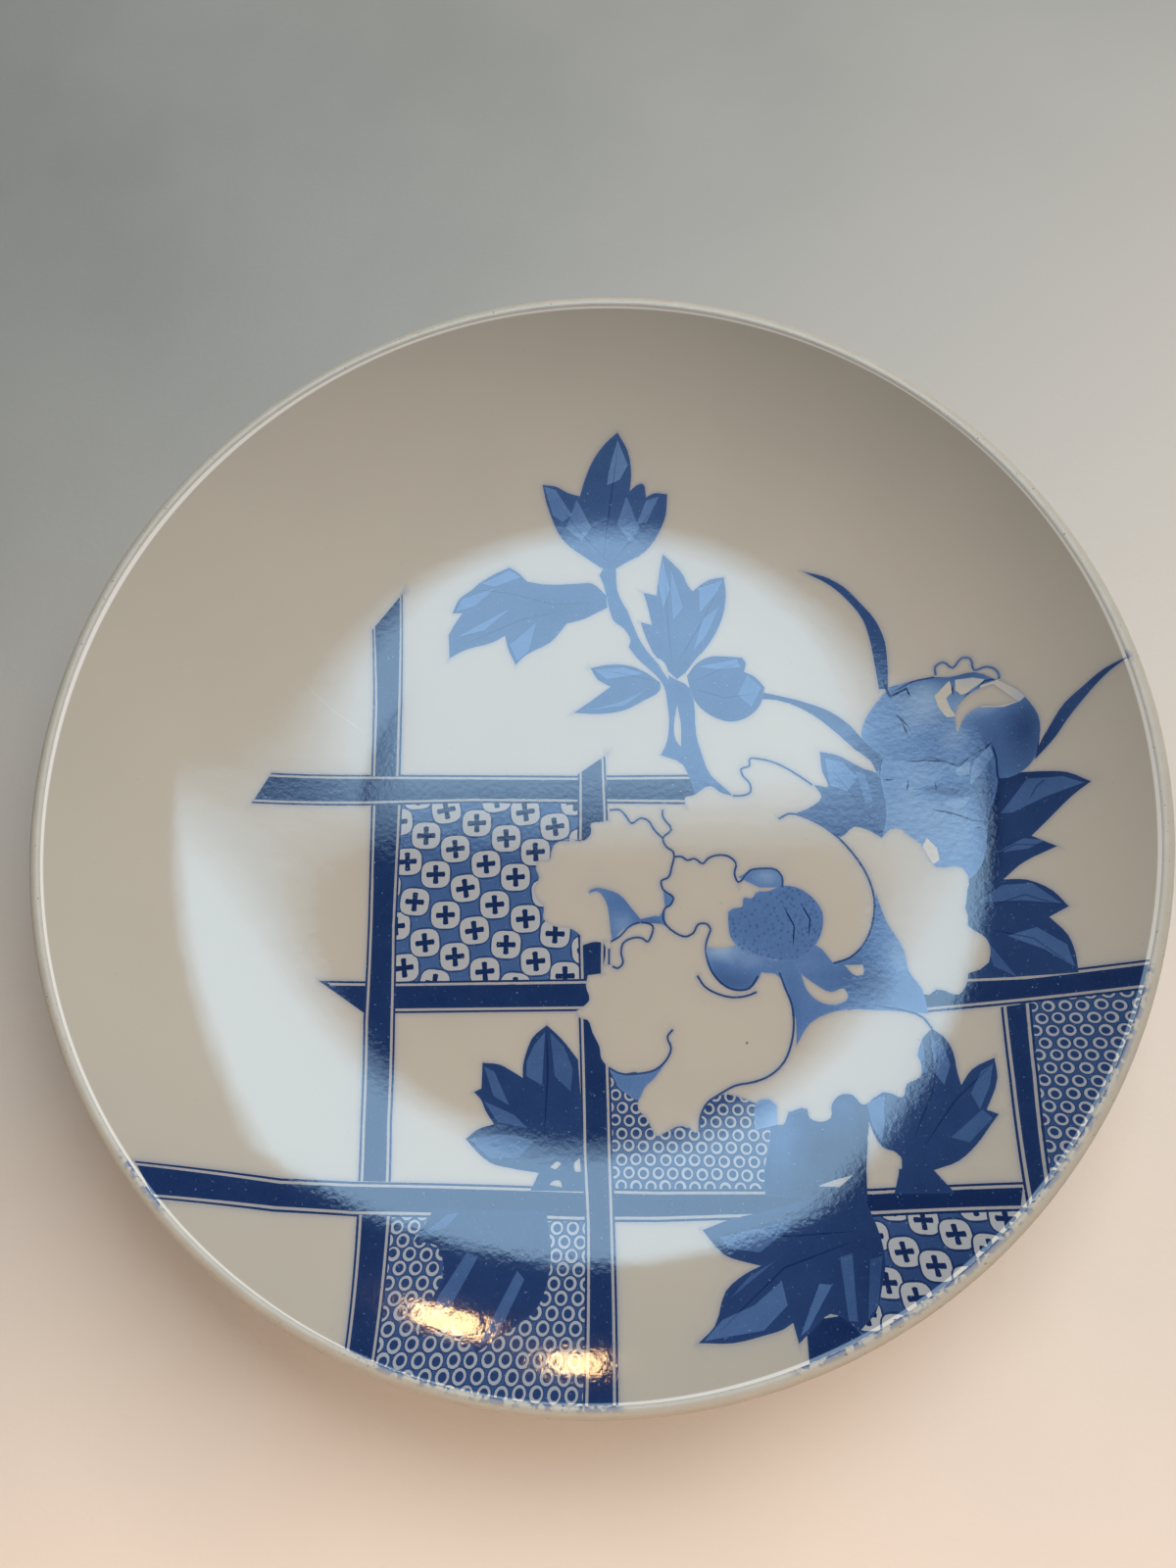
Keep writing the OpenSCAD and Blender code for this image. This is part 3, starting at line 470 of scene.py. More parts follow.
# Pen lines inside the bud and along its edges
BUD_LINES = [
    [(105, 27), (106.5, 31.5), (109.5, 35), (113, 37), (117.5, 37.5)],
    [(117.5, 37), (121.5, 34.5), (124.5, 29.5), (126, 24.5), (126, 20), (124.5, 14.5)],
    [(88, 36.5), (94.5, 39.5), (100, 40), (104, 40)],
    [(97.5, 17), (103.5, 14.5), (105.5, 13.5), (108.5, 16), (112.5, 18), (114, 19.5)],
    [(114, 19.5), (115, 14.5), (115, 10), (115.5, 7.5)],
    [(97.5, 1.5), (102.5, 0.5), (107.5, -2), (113, -3.5)],
    [(85.5, 18.5), (84.5, 15.5), (84, 12)],
]
# Soft changes of tone, as (x, y, width, height, change)
SHADES = [
    (98, 34, 5, 6, 0.26), (112, 31, 9, 4, 0.26), (92, 30, 9, 9, 0.12), (122, 22, 6, 12, -0.22),
    (105, 22, 4, 4, 0.18), (103, 6.5, 6, 2.5, -0.22), (112, 2, 3, 16, -0.30), (100, -4, 12, 10, 0.10),
    (108, -16, 4, 5, -0.1), (92, 8, 9, 10, 0.08), (104, 41, 9, 2, -0.22), (87, 14, 3, 10, -0.05),
    (38, -38, 5, 2.5, 0.28), (42, -47, 7, 3, -0.15), (37, -44, 3, 4, -0.08), (46, -41, 4, 3, 0.1),
    (63, -42, 6, 2, 0.05), (80, -47, 9, 6, -0.22), (57, -56, 2, 8, -0.08), (86, -42, 3, 6, 0.18),
    (13, -25, 4, 4, -0.1), (18, -30, 4, 1.2, -0.1), (10, -30, 3, 4, 0.12), (51, -17, 3, 2, 0.18),
    (66, -93, 7, 5, -0.28), (54, -86, 6, 7, 0.16), (70, -80, 6, 3, 0.10), (60, -101, 10, 3, -0.15),
    (52, -94, 4, 8, 0.12), (74, -90, 2, 9, -0.2), (82, -84, 4, 8, 0.06),
    (2, 90, 14, 5, 0.10), (-10, 66, 14, 5, -0.05), (27, 58, 6, 6, 0.05), (27, 40, 4, 4, -0.05),
    (86, 44, 2, 7, 0.06), (76, 25, 6, 3, 0.10), (140, 33, 4, 3, -0.04), (94, -120, 24, 18, -0.17),
]

# Dark marks in the blue of the bud and on a rail, as (width, points)
CRACKS = [
    (0.7, [(86, 41), (87.5, 36.5), (88, 35.5), (92.5, 37.5), (93.5, 35)]),
    (0.7, [(89, 30.5), (93, 26)]),
    (0.6, [(91, 27.5), (92.5, 23.5)]),
    (0.7, [(85, 11), (88, 11)]),
    (0.6, [(92, 10.5), (91.5, 7.5)]),
    (0.6, [(99, 9.5), (99.5, 7)]),
    (0.6, [(108.5, -4.5), (110.5, -4.5)]),
    (0.5, [(104.5, 37.5), (105, 34)]),
    (0.5, [(97, 2), (106, -1)]),
    (0.5, [(11.5, 11), (12.5, 6.5)]),
    (0.5, [(91, 16), (97, 16), (103, 15)]),
    (0.4, [(55.5, -25), (58.5, -31), (58, -37)]),
    (0.4, [(60.5, -24.5), (63, -29), (62.5, -34)]),
]
# Marks on the bare porcelain: specks as (x, y, radius, strength), then fine scratches
SPECKS = [
    (40.5, 99.5, 0.5, 0.9), (-11, 116, 0.5, 0.9), (8.5, 49.5, 0.4, 0.8), (-49, 45.5, 0.5, 0.9),
    (-36.5, -66.5, 0.4, 0.9), (-66, -62, 0.5, 0.8), (44.5, -63.5, 0.4, 0.8), (28.5, 35.5, 0.4, 0.7),
    (-24.5, 67, 0.3, 0.8), (69.5, -38, 0.4, 0.7), (30, -69, 0.9, 0.5), (66.5, -72.5, 1.3, 0.25),
    (56, -56, 1.2, 0.22), (-80, -7.5, 0.7, 0.3), (38, -24.5, 0.6, 0.3), (75.5, -33.5, 0.6, 0.3),
    (-44, 48, 0.4, 0.7), (-45, 46, 0.35, 0.7), (95, 78, 0.4, 0.7), (-102, 62, 0.4, 0.7),
    (-88, -96, 0.4, 0.7), (58, 118, 0.4, 0.6),
]
SCRATCHES = [
    [(-90, 45), (-78, 34), (-66, 26)],
    [(-45, 34), (-38, 27), (-31, 18)],
    [(70, 52), (72, 54), (74, 55)],
    [(-20, 100), (-30, 104), (-41, 105)],
]

CROSS_FLOWERS = [
    # (one flower's centre, step along, step across, radius, how many each way, low corner, high corner)
    ((-44.9, -16.1), (8.9, -4.3), (3.2, -11.9), 4.5, 7, (-57, -47), (2, 6)),
    ((87.2, -116.1), (6.5, -2.7), (5.2, 6.9), 3.6, 7, (66, -138), (114, -102)),
]
RING_ROWS = [
    # (low corner, high corner, distance between rings, distance between rows)
    ((6, -103), (53, -70), 3.95, 3.35),
    ((-53, -152), (4, -109), 4.20, 3.20),
    ((112, -102), (150, -49), 3.60, 3.10),
]
RING_OUT, RING_IN = 0.40, 0.25    # the white ring's two radii, as shares of the distance between rings
RING_CORNERS = 14
FLOWER_CORNERS = 28


def inside_box(x, y, low, high, margin):
    return low[0] - margin < x < high[0] + margin and low[1] - margin < y < high[1] + margin


def blob(x, y, radius, corners, wave=0.0, turn=0.0, squash=1.0):
    """A round outline whose radius waves four times around it."""
    turns = [2 * math.pi * i / corners for i in range(corners)]
    return [(x + radius * (1 + wave * math.cos(4 * (a - turn))) * math.cos(a),
             y + squash * radius * (1 + wave * math.cos(4 * (a - turn))) * math.sin(a)) for a in turns]


def cross(x, y, arm, half, turn):
    """A cross with arms that widen a little, drawn as one outline."""
    points = []
    for k in range(4):
        a = turn + k * math.pi / 2
        along, side = (math.cos(a), math.sin(a)), (-math.sin(a), math.cos(a))
        end = [(arm, -half * 1.15), (arm * 1.1, 0), (arm, half * 1.15)]
        for reach, width in [(half, -half), *end, (half, half)]:
            points.append((x + along[0] * reach + side[0] * width, y + along[1] * reach + side[1] * width))
    return points


def ribbon(points, width):
    """A strip of that width along a line of points, pointed at its ends."""
    p = np.array(points, float)
    fine = [p[0]]
    for a, b in zip(p, p[1:]):
        fine += [a + (b - a) * k / 4 for k in range(1, 5)]
    fine = np.array(fine)
    way = np.gradient(fine, axis=0)
    way /= np.linalg.norm(way, axis=1, keepdims=True)
    side = np.stack([-way[:, 1], way[:, 0]], 1)
    taper = np.minimum(np.arange(len(fine)), np.arange(len(fine))[::-1])
    half = (width / 2 * np.clip(taper / 2, 0.08, 1))[:, None]
    return [tuple(q) for q in np.concatenate([fine + side * half, (fine - side * half)[::-1]])]


def turned_left(points):
    """The same outline with its points counter-clockwise, as the triangulation needs them."""
    x, y = np.array(points, float).T
    area = np.sum(x * np.roll(y, -1) - y * np.roll(x, -1))
    return points if area > 0 else points[::-1]


def pattern_shapes():
    """Closed outlines to cut into the surface: (kind, number, points). Later ones lie on earlier ones."""
    shapes = []
    draw = np.random.default_rng(7)
    for (cx, cy), along, across, radius, many, low, high in CROSS_FLOWERS:
        for i in range(-many, many + 1):
            for j in range(-many, many + 1):
                x = cx + i * along[0] + j * across[0]
                y = cy + i * along[1] + j * across[1]
                if not inside_box(x, y, low, high, radius):
                    continue
                x, y = (x, y) + draw.normal(0, 0.2, 2)
                tilt = draw.normal(0.1, 0.08)
                edge = blob(x, y, radius + 0.45, FLOWER_CORNERS, 0.035, tilt + 0.75, 0.95)
                flower = blob(x, y, radius, FLOWER_CORNERS, 0.065, tilt + 0.75, 0.93)
                shapes.append(("line", -0.16, edge))
                shapes.append(("white", 0.37, flower))
                shapes.append(("line", -0.34, cross(x, y, radius * 0.58, radius * 0.155, tilt)))
    for low, high, pitch, row in RING_ROWS:
        for j in range(int((high[1] - low[1]) / row) + 1):
            for i in range(int((high[0] - low[0]) / pitch) + 2):
                x = low[0] + (i + 0.5 * (j % 2)) * pitch + draw.normal(0, 0.07)
                y = low[1] + (j + 0.5) * row + draw.normal(0, 0.07)
                core = draw.normal(0, 0.08, 2)
                shapes.append(("line", -0.12, blob(x, y, pitch * RING_OUT + 0.24, RING_CORNERS)))
                shapes.append(("white", 0.46, blob(x, y, pitch * RING_OUT, RING_CORNERS)))
                shapes.append(("line", -0.12, blob(x + core[0], y + core[1], pitch * RING_IN, 10)))
    shapes += [("facet", tone, points) for tone, points in FACETS]
    shapes += [("facet", -0.12, ribbon(points, width)) for width, points in DARK_VEINS]
    shapes += [("facet", -0.32, ribbon(points, 0.5)) for points in BUD_LINES]
    shapes += [("crack", 0.0, ribbon(points, width)) for width, points in CRACKS]
    shapes += [("soil", strength, blob(x, y, radius, 9, 0.12, x)) for x, y, radius, strength in SPECKS]
    shapes += [("soil", 0.22, ribbon(points, 0.16)) for points in SCRATCHES]
    return [(kind, number, turned_left(points)) for kind, number, points in shapes]


# ---- The printed inside surface ----

# CAD node: (piece, slot, tone)
COLOURS = {
    "cobalt_fence_posts": ("fence_posts", "cobalt_dark", 0.05),
    "cobalt_fence_rails": ("fence_rails", "cobalt_dark", 0.04),
    "cobalt_cross_panels": ("cross_panels", "cobalt_printed", 0.34),
    "cobalt_ring_panels": ("ring_panels", "cobalt_printed", 0.26),
    "cobalt_peony_lines": ("peony_lines", "cobalt_line", 0.22),
    "cobalt_peony_heart": ("peony_heart", "cobalt_wash", 0.48),
    "cobalt_peony_wash": ("peony_wash", "cobalt_wash", 0.50),
    "cobalt_bud": ("bud", "cobalt_wash", 0.46),
    "cobalt_calyx": ("calyx", "cobalt_wash", 0.52),
    "cobalt_blades": ("blades", "cobalt_line", 0.24),
    "cobalt_branch": ("branch", "cobalt_leaf", 0.34),
    "cobalt_sprig_leaves": ("sprig_leaves", "cobalt_leaf", 0.30),
    "cobalt_right_leaves": ("right_leaves", "cobalt_dark", 0.14),
    "cobalt_centre_leaves": ("centre_leaves", "cobalt_dark", 0.13),
    "cobalt_lower_leaves": ("lower_leaves", "cobalt_dark", 0.16),
    "cobalt_hanging_leaf": ("hanging_leaf", "cobalt_dark", 0.10),
}
PANELS = ("cobalt_cross_panels", "cobalt_ring_panels")
PLAIN = ("cobalt_fence_posts", "cobalt_fence_rails", "cobalt_peony_lines", "cobalt_blades")
GRID = 3.4                        # distance between the plain surface's points
BLEED_GAPS = (0.3, 0.8, 1.7)      # how far from an outline the points beside it lie
SNAP = 0.03                       # outlines closer than this become one
CRACK_TONE = -0.4                 # tone of a crack in the blue, darker than any colour


def printed_outlines():
    """The plan outlines of every printed CAD node, and a tree of their upper faces with each face's node."""
    spots, edges, corners, owners = [], [], [], []
    for k, node in enumerate(COLOURS):
        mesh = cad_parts[node].data
        mesh.calc_loop_triangles()
        co = np.empty(len(mesh.vertices) * 3)
        mesh.vertices.foreach_get("co", co)
        co = co.reshape(-1, 3) / MM
        tri = np.empty(len(mesh.loop_triangles) * 3, int)
        mesh.loop_triangles.foreach_get("vertices", tri)
        tri = tri.reshape(-1, 3)
        n = np.cross(co[tri[:, 1]] - co[tri[:, 0]], co[tri[:, 2]] - co[tri[:, 0]])
        tri = tri[n[:, 2] > 0.5 * np.linalg.norm(n, axis=1)]
        flat, same = np.unique(np.round(co[:, :2], 4), axis=0, return_inverse=True)
        tri = same.reshape(-1)[tri]
        tri = tri[(tri[:, 0] != tri[:, 1]) & (tri[:, 1] != tri[:, 2]) & (tri[:, 2] != tri[:, 0])]
        sides = np.concatenate([tri[:, [0, 1]], tri[:, [1, 2]], tri[:, [2, 0]]])
        known = {tuple(s) for s in sides.tolist()}
        outer = [s for s in known if (s[1], s[0]) not in known]
        start = len(spots)
        spots += flat.tolist()
        edges += [(a + start, b + start) for a, b in sorted(outer)]
        corners += (tri + start).tolist()
        owners += [k] * len(tri)
    tree = BVHTree.FromPolygons([(x, y, 0) for x, y in spots], corners)
    return np.array(spots), edges, tree, owners


def along_edges(spots, edges, step):
    """Points every step or less along edges, and the sideways direction at each."""
    a, b = spots[[e[0] for e in edges]], spots[[e[1] for e in edges]]
    length = np.linalg.norm(b - a, axis=1)
    many = np.maximum(np.ceil(length / step).astype(int), 1)
    which = np.repeat(np.arange(len(edges)), many)
    first = np.repeat(np.cumsum(many) - many, many)
    share = (np.arange(len(which)) - first + 0.5) / many[which]
    points = a[which] + (b - a)[which] * share[:, None]
    way = (b - a) / np.maximum(length, 1e-9)[:, None]
    return points, np.stack([-way[:, 1], way[:, 0]], 1)[which]


def tree_of(points):
    """A search tree of plan points."""
    tree = KDTree(len(points))
    for i, (x, y) in enumerate(points):
        tree.insert((x, y, 0), i)
    tree.balance()
    return tree


def distances(tree, points):
    """How far each plan point is from the nearest one in the tree."""
    return np.array([tree.find((x, y, 0))[2] for x, y in points])


def spread_points(spots, edges, shapes):
    """Points between the outlines: close to them where the blue bleeds, and a plain grid elsewhere."""
    lines, _ = along_edges(spots, edges, 0.5)
    tree = tree_of(lines)
    some, side = along_edges(spots, edges, 1.5)
    near = []
    for gap in BLEED_GAPS:
        for sign in (-1, 1):
            p = some + side * gap * sign
            near.append(p[distances(tree, p) > gap * 0.96])
    near = np.concatenate(near)
    rows = np.arange(-INSIDE_R, INSIDE_R, GRID * 0.87)
    grid = np.array([(x + GRID / 2 * (j % 2), y) for j, y in enumerate(rows)
                     for x in np.arange(-INSIDE_R, INSIDE_R, GRID)])
    shape_lines = np.array([p for _, _, points in shapes for p in points])
    busy = tree_of(np.concatenate([lines, near, shape_lines]))
    grid = grid[distances(busy, grid) > 1.1]
    points = np.concatenate([near, grid])
    points = points[np.hypot(points[:, 0], points[:, 1]) < INSIDE_R - 0.9]
    keep, taken = [], set()
    for i, (x, y) in enumerate(points):
        cell = (round(x / 0.35), round(y / 0.35))
        if cell not in taken:
            taken.add(cell)
            keep.append(i)
    return points[keep], tree


def surface_triangles():
    """Cuts the whole inside surface along every outline. Returns plan points, triangles, and each
    triangle's node (or -1 on bare porcelain), tone, ink and soil, with the tree of the outlines."""
    spots, edges, tree, owners = printed_outlines()
    shapes = pattern_shapes()
    faces, start = [], len(spots)
    rim = [(INSIDE_R * math.cos(t), INSIDE_R * math.sin(t))
           for t in 2 * math.pi * np.arange(SPIN_STEPS) / SPIN_STEPS]
    extra, outlines = spread_points(spots, edges, shapes)
    everything = spots.tolist()
    used = []
    for kind, number, points in shapes:
        if min(math.hypot(x, y) for x, y in points) > INSIDE_R - 0.3:
            continue
        on = [tree.find_nearest((x, y, 0), 0.1)[2] for x, y in points]
        nodes = {list(COLOURS)[owners[k]] for k in on if k is not None}
        if kind == "facet" and nodes <= set(PANELS + PLAIN):
            continue
        if kind in ("white", "line") and not nodes & set(PANELS):
            continue
        faces.append(list(range(len(everything), len(everything) + len(points))))
        everything += points
        used.append((kind, number))
    rim_start = len(everything)
    everything += rim
    edges = edges + [(rim_start + i, rim_start + (i + 1) % SPIN_STEPS) for i in range(SPIN_STEPS)]
    everything += extra.tolist()
    made = delaunay_2d_cdt([Vector(p) for p in everything], edges, faces, 0, SNAP, True)
    flat = np.array([(v.x, v.y) for v in made[0]])
    fans = [(f[0], b, c, ids) for f, ids in zip(made[2], made[5]) for b, c in zip(f[1:], f[2:])]
    triangles, from_faces = np.array([fan[:3] for fan in fans]), [fan[3] for fan in fans]
    middle = flat[triangles].mean(axis=1)
    near_rim = np.hypot(middle[:, 0], middle[:, 1]) < INSIDE_R
    triangles, middle = triangles[near_rim], middle[near_rim]
    from_faces = [ids for ids, keep in zip(from_faces, near_rim) if keep]
    names = list(COLOURS)
    node = np.full(len(triangles), -1)
    tone, ink, soil = np.zeros(len(triangles)), np.zeros(len(triangles)), np.zeros(len(triangles))
    for i, (x, y) in enumerate(middle):
        marks = [used[s] for s in from_faces[i] if used[s][0] in ("soil", "crack")]
        hit = tree.find_nearest((x, y, 0), SNAP)[2]
        if hit is None:
            for kind, number in marks:
                if kind == "soil":
                    soil[i] = number
                else:
                    ink[i] = 1.0
            continue
        k = owners[hit]
        node[i] = k
        tone[i] = COLOURS[names[k]][2]
        for s in sorted(from_faces[i]):
            kind, number = used[s]
            if names[k] in PANELS:
                if kind == "white":
                    node[i], ink[i] = -1, number
                elif kind == "line":
                    node[i], tone[i] = k, COLOURS[names[k]][2] + number
            elif kind == "facet" and names[k] not in PLAIN:
                tone[i] += number
        if any(kind == "crack" for kind, _ in marks) and node[i] >= 0:
            tone[i] = CRACK_TONE
    return flat, triangles, node, tone, ink, soil, outlines


def shade_at(flat):
    """The soft changes of tone at plan points."""
    total = np.zeros(len(flat))
    for x, y, width, height, change in SHADES:
        total += change * np.exp(-((flat[:, 0] - x) / width) ** 2 - ((flat[:, 1] - y) / height) ** 2)
    return total


def coat(name, flat, triangles, corner_values, material, replaces, sink):
    """A closed coat whose upper face is those triangles: its upper face, its underside and its edges."""
    used, index = np.unique(triangles, return_inverse=True)
    tri = index.reshape(-1, 3)
    p, q, r = (flat[used][tri[:, k]] for k in range(3))
    area = (q[:, 0] - p[:, 0]) * (r[:, 1] - p[:, 1]) - (q[:, 1] - p[:, 1]) * (r[:, 0] - p[:, 0])
    tri = np.where(area[:, None] > 0, tri, tri[:, ::-1])
    values = {key: np.where(area[:, None] > 0, v, v[:, ::-1]) for key, v in corner_values.items()}
    xy = flat[used]
    n = len(xy)
    points = np.concatenate([on_inside(xy), on_inside(xy, sink)])
    normals = inside_normals(xy)
    sides = np.concatenate([tri[:, [0, 1]], tri[:, [1, 2]], tri[:, [2, 0]]])
    known = {tuple(s) for s in sides.tolist()}
    outer = np.array(sorted(s for s in known if (s[1], s[0]) not in known))
    walls = np.stack([outer[:, 0], outer[:, 0] + n, outer[:, 1] + n, outer[:, 1]], 1)
    under = tri[:, ::-1] + n
    faces = tri.tolist() + under.tolist() + walls.tolist()
    way = points[outer[:, 1]] - points[outer[:, 0]]
    wall_normal = np.cross(way, (0, 0, 1.0))
    wall_normal /= np.linalg.norm(wall_normal, axis=1, keepdims=True)
    corner_normals = np.concatenate([normals[tri.ravel()], -normals[under.ravel() - n],
                                     np.repeat(wall_normal, 4, axis=0)])
    attributes = {}
    for key, v in values.items():
        point_value = np.zeros(n)
        point_value[tri.ravel()] = v.ravel()
        attributes[key] = ("CORNER", np.concatenate(
            [v.ravel(), v[:, ::-1].ravel(), point_value[walls.ravel() % n]]))
    return new_piece(name, points, faces, material, replaces, attributes, corner_normals)


def make_inside():
    """The clear glaze inside the plate and every coat of colour, all cut from one surface."""
    flat, triangles, node, tone, ink, soil, outlines = surface_triangles()
    away = distances(outlines, flat)
    bleed = 0.50 * np.exp(-away / 0.45) + 0.10 * np.exp(-away / 2.0)
    corner_ink = np.where(ink[:, None] > 0, ink[:, None], bleed[triangles])
    bare = node < 0
    corner_soil = np.repeat(soil[:, None], 3, axis=1)
    # the inside porcelain gets the full painted highlight along the lip's inner edge
    coat("glaze_inside", flat, triangles[bare], {"ink": corner_ink[bare], "soil": corner_soil[bare]},
         porcelain_material("clear glaze over porcelain", 1.0), "front_glaze", COLOUR_T)
    shade = shade_at(flat)
    pool = 0.05 * np.exp(-away / 0.3)
    for k, (cad, (name, slot, base)) in enumerate(COLOURS.items()):
        mine = node == k
        corner_tone = tone[mine][:, None] + (shade + pool)[triangles[mine]]
        dots = 0.12 if cad == "cobalt_peony_heart" else 0.0
        material = cobalt_material("cobalt " + name.replace("_", " "), dots=dots)
        coat(name, flat, triangles[mine], {"tone": corner_tone}, material, cad, COLOUR_T)


make_inside()


# ---- The turned parts: clay body, lip, outside, recess and foot ring ----

# Where the printed pattern meets the lip, in degrees
PRINTED_RIM = [(-142, -134), (-111, -85), (-70, -17), (13, 15)]
BROWN_EDGE_RING, BROWN_EDGE_SPREAD = 9.5, 1.3    # a brown line along the lip's outer edge, counted in the lip's steps
BROWN_EDGE = 0.75                          # and its strength


def make_lathed():
    """The turned pieces: clay, lip, outside glaze, recess glaze and foot."""
    body = front_line(GLAZE) + lip_line(GLAZE)[1:] + back_line(GLAZE)[1:]
    body += [(FOOT_R - FOOT_T, WELL_Z), (40.0, WELL_Z), (0.0, WELL_Z)]
    clay = clay_material("porcelain clay", (0.70, 0.66, 0.57), (0.64, 0.59, 0.50), 0.03)
    points, faces = lathe(body)
    new_piece("clay_body", points, faces, clay, "porcelain_body")

    outline = lip_line(0.0) + lip_line(GLAZE)[::-1]
    points, faces = lathe(outline)
    ring = np.repeat(np.arange(len(outline)), SPIN_STEPS)
    angle = np.tile(np.arange(SPIN_STEPS) * 360 / SPIN_STEPS, len(outline))
    angle = np.where(angle > 180, angle - 360, angle)
    printed = np.any([(angle > a) & (angle < b) for a, b in PRINTED_RIM], axis=0)
    ink = printed * np.clip(1 - ring / 4, 0, 1)
    # where the brown band lies on the lip: strongest on its outer side
    edge = BROWN_EDGE * np.exp(-((ring - BROWN_EDGE_RING) / BROWN_EDGE_SPREAD) ** 2)
    new_piece("brown_edged_lip", points, faces, lip_material("worn lip glaze"), "lip_glaze",
              {"ink": ("POINT", ink), "edge": ("POINT", edge)})

    outer, inner = back_line(0.0), back_line(GLAZE)
    skirt = [(FOOT_R + GLAZE, outer[-1][1]), (FOOT_R + GLAZE, BARE_H + 0.3), (FOOT_R + GLAZE * 0.7, BARE_H),
             (FOOT_R, BARE_H)]
    points, faces = lathe(outer + skirt + inner[::-1])
    outside = porcelain_material("clear glaze outside")
    new_piece("glaze_outside", points, faces, outside, "back_glaze")

    r = FOOT_R - FOOT_T
    recess = [(0.0, WELL_Z), (r, WELL_Z), (r, BARE_H), (r - GLAZE * 0.7, BARE_H), (r - GLAZE, BARE_H + 0.3),
              (r - GLAZE, WELL_Z - 2.0), (r - 1.0, WELL_Z - 0.9), (r - 3.0, WELL_Z - GLAZE),
              (40.0, WELL_Z - GLAZE), (0.0, WELL_Z - GLAZE)]
    points, faces = lathe(recess)
    new_piece("recess_glaze", points, faces, outside, "foot_well_glaze")

    mid = FOOT_R - FOOT_T / 2
    half = FOOT_LAND / 2
    foot = [(FOOT_R, back_line(GLAZE)[-1][1]), (FOOT_R - FOOT_T, WELL_Z), (FOOT_R - FOOT_T, 1.8),
            (mid - half - 1.6, 0.9), (mid - half - 0.8, 0.3), (mid - half, 0.02), (mid, 0.0),
            (mid + half, 0.02), (mid + half + 0.8, 0.3), (mid + half + 1.6, 0.9), (FOOT_R, 1.8)]
    points, faces = lathe(foot)
    toasted = clay_material("bare toasted foot", (0.62, 0.45, 0.30), (0.72, 0.60, 0.46))
    new_piece("bare_foot", points, faces, toasted, "foot_ring")


make_lathed()


# ---- Floor, lights and camera ----

FLOOR_HALF = 3
# The floor's two colours are painted light and shade: painted cool shade behind the plate, painted warm light
# in front of it
FLOOR_PAINTED_SHADE, FLOOR_PAINTED_WARM_LIGHT = (0.268, 0.285, 0.273), (0.800, 0.745, 0.680)


def make_floor():
    """A plain pale floor with painted light and shade: painted warm light in front of the plate and painted
    cool shade behind it.
    """
    mesh = bpy.data.meshes.new("floor")
    h = FLOOR_HALF
    mesh.from_pydata([(-h, -h, 0), (h, -h, 0), (h, h, 0), (-h, h, 0)], [], [(0, 1, 2, 3)])
    m = Nodes("pale floor")
    parts = m.add("ShaderNodeSeparateXYZ")
    m.feed(parts.inputs[0], m.place)
    # painted light and shade: from painted warm light in front of the plate to painted cool shade behind it
    # and to the left
    slant = m.maths("ADD", m.maths("MULTIPLY", parts.outputs["X"], -0.5), parts.outputs["Y"])
    colour = m.mix(m.between(slant, -0.20, 0.35), FLOOR_PAINTED_WARM_LIGHT, FLOOR_PAINTED_SHADE)
    colour = m.mix(m.between(m.noise(90.0, 3.0), 0.3, 0.7, 0.0, 0.15), colour, (0.55, 0.54, 0.52))
    m.feed(m.shader.inputs["Base Color"], colour)
    m.shader.inputs["Roughness"].default_value = 0.6
    m.feed(m.shader.inputs["Normal"], m.bump(m.noise(2.5, 3.0), 0.15, 0.6))
    mesh.materials.append(m.material)
    floor = bpy.data.objects.new("floor", mesh)
    bpy.context.scene.collection.objects.link(floor)


def area_light(name, place, aim, size, watts, colour, shine=True, fill=True):
    """A panel of that size at place, facing aim. shine lets glaze reflect it, fill lets it light surfaces."""
    light = bpy.data.lights.new(name, "AREA")
    light.shape = "RECTANGLE"
    light.size, light.size_y = size
    light.energy = watts
    light.color = colour
    holder = bpy.data.objects.new(name, light)
    holder.location = place
    holder.rotation_mode = "QUATERNION"
    holder.rotation_quaternion = (Vector(aim) - Vector(place)).to_track_quat("-Z", "Y")
    holder.visible_camera = False
    holder.visible_glossy = shine
    holder.visible_diffuse = fill
    bpy.context.scene.collection.objects.link(holder)


# The reflected softbox: centre x and y, and the size of the smallest of its stacked panels. Each next
# panel is a little larger and higher, which feathers the edges of the reflection.
SOFTBOX_PLACE = (-0.020, 0.282)
SOFTBOX_SIZE = (0.37, 0.265)
SOFTBOX_HEIGHT = 0.60
SOFT_STEPS = 4
SOFT_GROW = 0.03
SOFT_LIFT = 0.004
SOFT_RADIANCE = 8.0
SOFT_BLUE = (0.50, 0.77, 1.0)
GLINT_GOLD = (1.0, 0.60, 0.25)


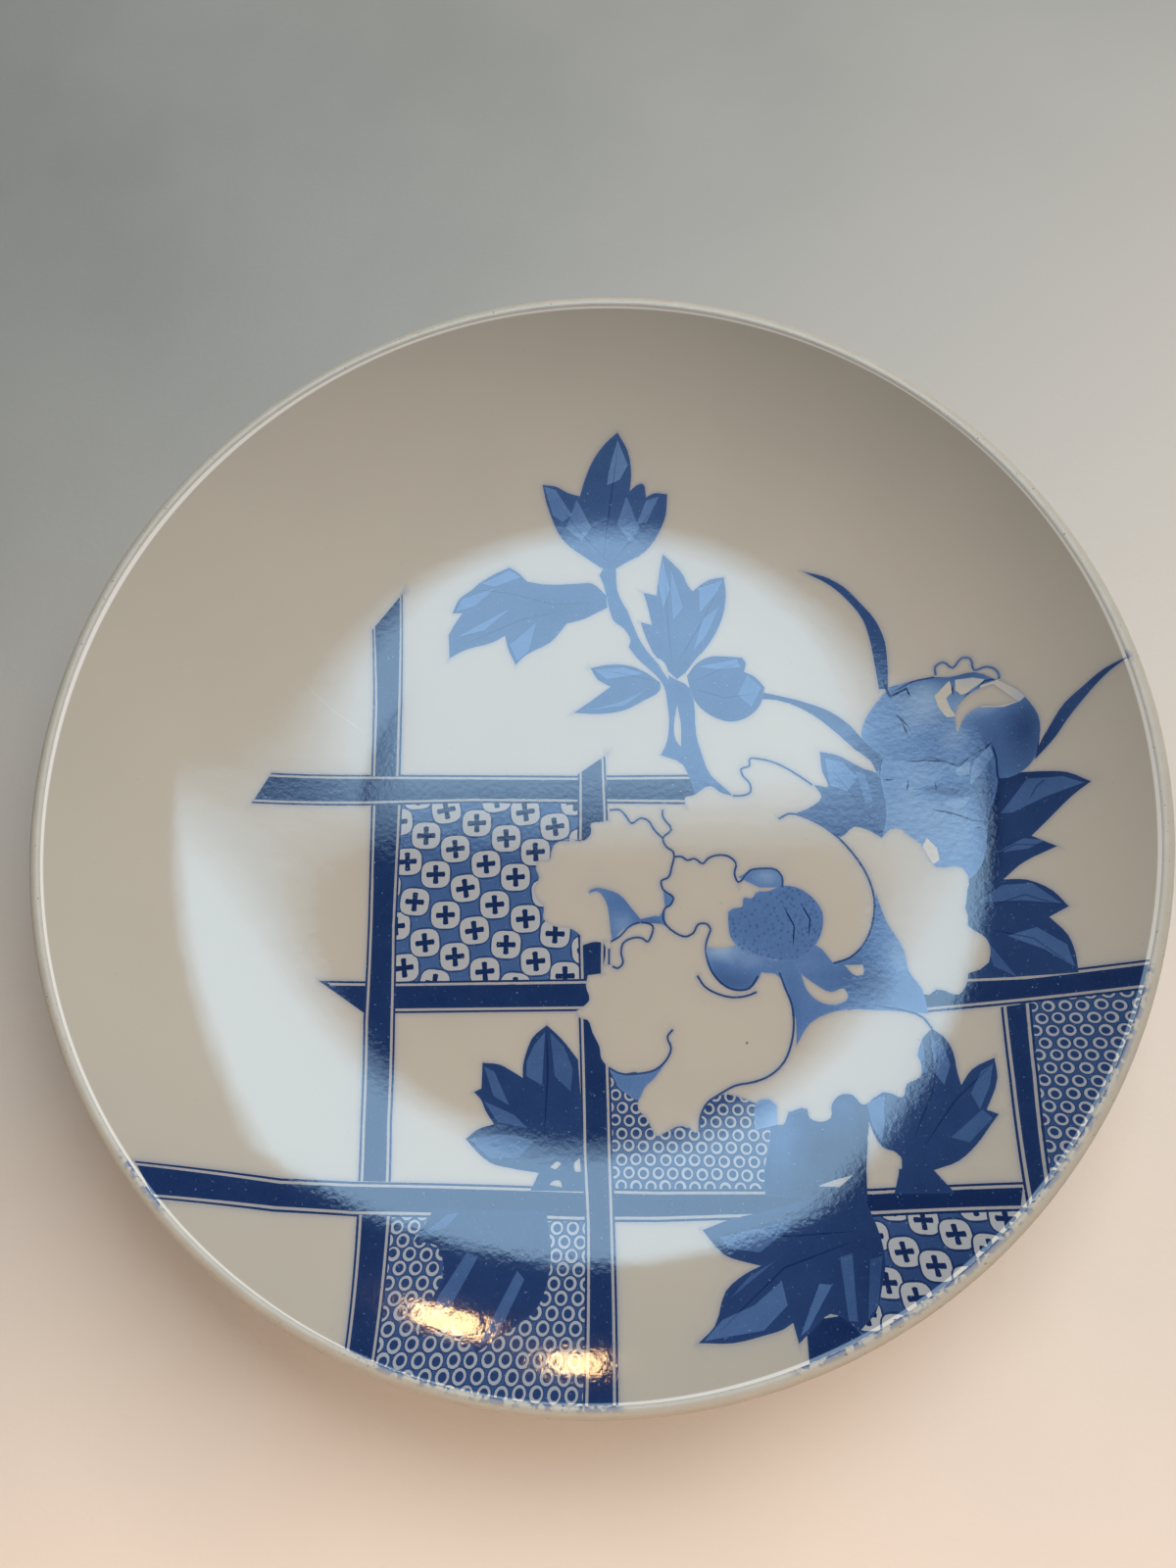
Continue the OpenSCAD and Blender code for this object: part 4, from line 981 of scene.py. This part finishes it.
def make_lights():
    """A dim sky, the reflected softbox, a key panel, a low warm lamp, and two lamps seen only as glints."""
    world = bpy.data.worlds.new("studio")
    world.use_nodes = True
    sky = world.node_tree.nodes["Background"].inputs
    sky["Color"].default_value = (0.82, 0.92, 1.0, 1)
    sky["Strength"].default_value = 0.17
    bpy.context.scene.world = world
    bpy.context.scene.view_settings.view_transform = "Standard"
    x, y = SOFTBOX_PLACE
    for k in range(SOFT_STEPS):
        width, depth = (side + SOFT_GROW * k for side in SOFTBOX_SIZE)
        place = (x, y, SOFTBOX_HEIGHT + SOFT_LIFT * k)
        watts = SOFT_RADIANCE * math.pi * width * depth / SOFT_STEPS
        area_light(f"softbox {k}", place, (x, y, 0), (width, depth), watts, SOFT_BLUE, fill=False)
    area_light("key panel", (0.45, 0.65, 1.0), (0, 0, 0), (1.1, 0.9), 15.0, (1.0, 0.965, 0.925), shine=False)
    area_light("warm lamp", (-0.05, -0.43, 0.25), (-0.05, -0.43, 0), (0.9, 0.16), 1.9, (1.0, 0.68, 0.46),
               shine=False)
    area_light("left glint lamp", (0.049, 0.725, 0.542), (-0.035, -0.133, 0.035), (0.06, 0.07), 0.65,
               GLINT_GOLD, fill=False)
    area_light("right glint lamp", (-0.073, 0.759, 0.468), (-0.004, -0.141, 0.038), (0.05, 0.07), 0.45,
               GLINT_GOLD, fill=False)


# The camera stands close above the plate and looks almost straight down
CAMERA_PLACE = (0.0278, -0.0705, 0.3500)
CAMERA_TURN = (13.57, 4.66, 0.55)    # degrees about x, then y, then z
CAMERA_LENS = 27.05                  # in millimetres
CAMERA_SENSOR = 36                   # its width, in millimetres


def make_camera():
    data = bpy.data.cameras.new("camera")
    data.sensor_width = CAMERA_SENSOR
    data.lens = CAMERA_LENS
    camera = bpy.data.objects.new("camera", data)
    camera.location = CAMERA_PLACE
    camera.rotation_euler = [math.radians(turn) for turn in CAMERA_TURN]
    bpy.context.scene.collection.objects.link(camera)
    bpy.context.scene.camera = camera


make_floor()
make_lights()
make_camera()
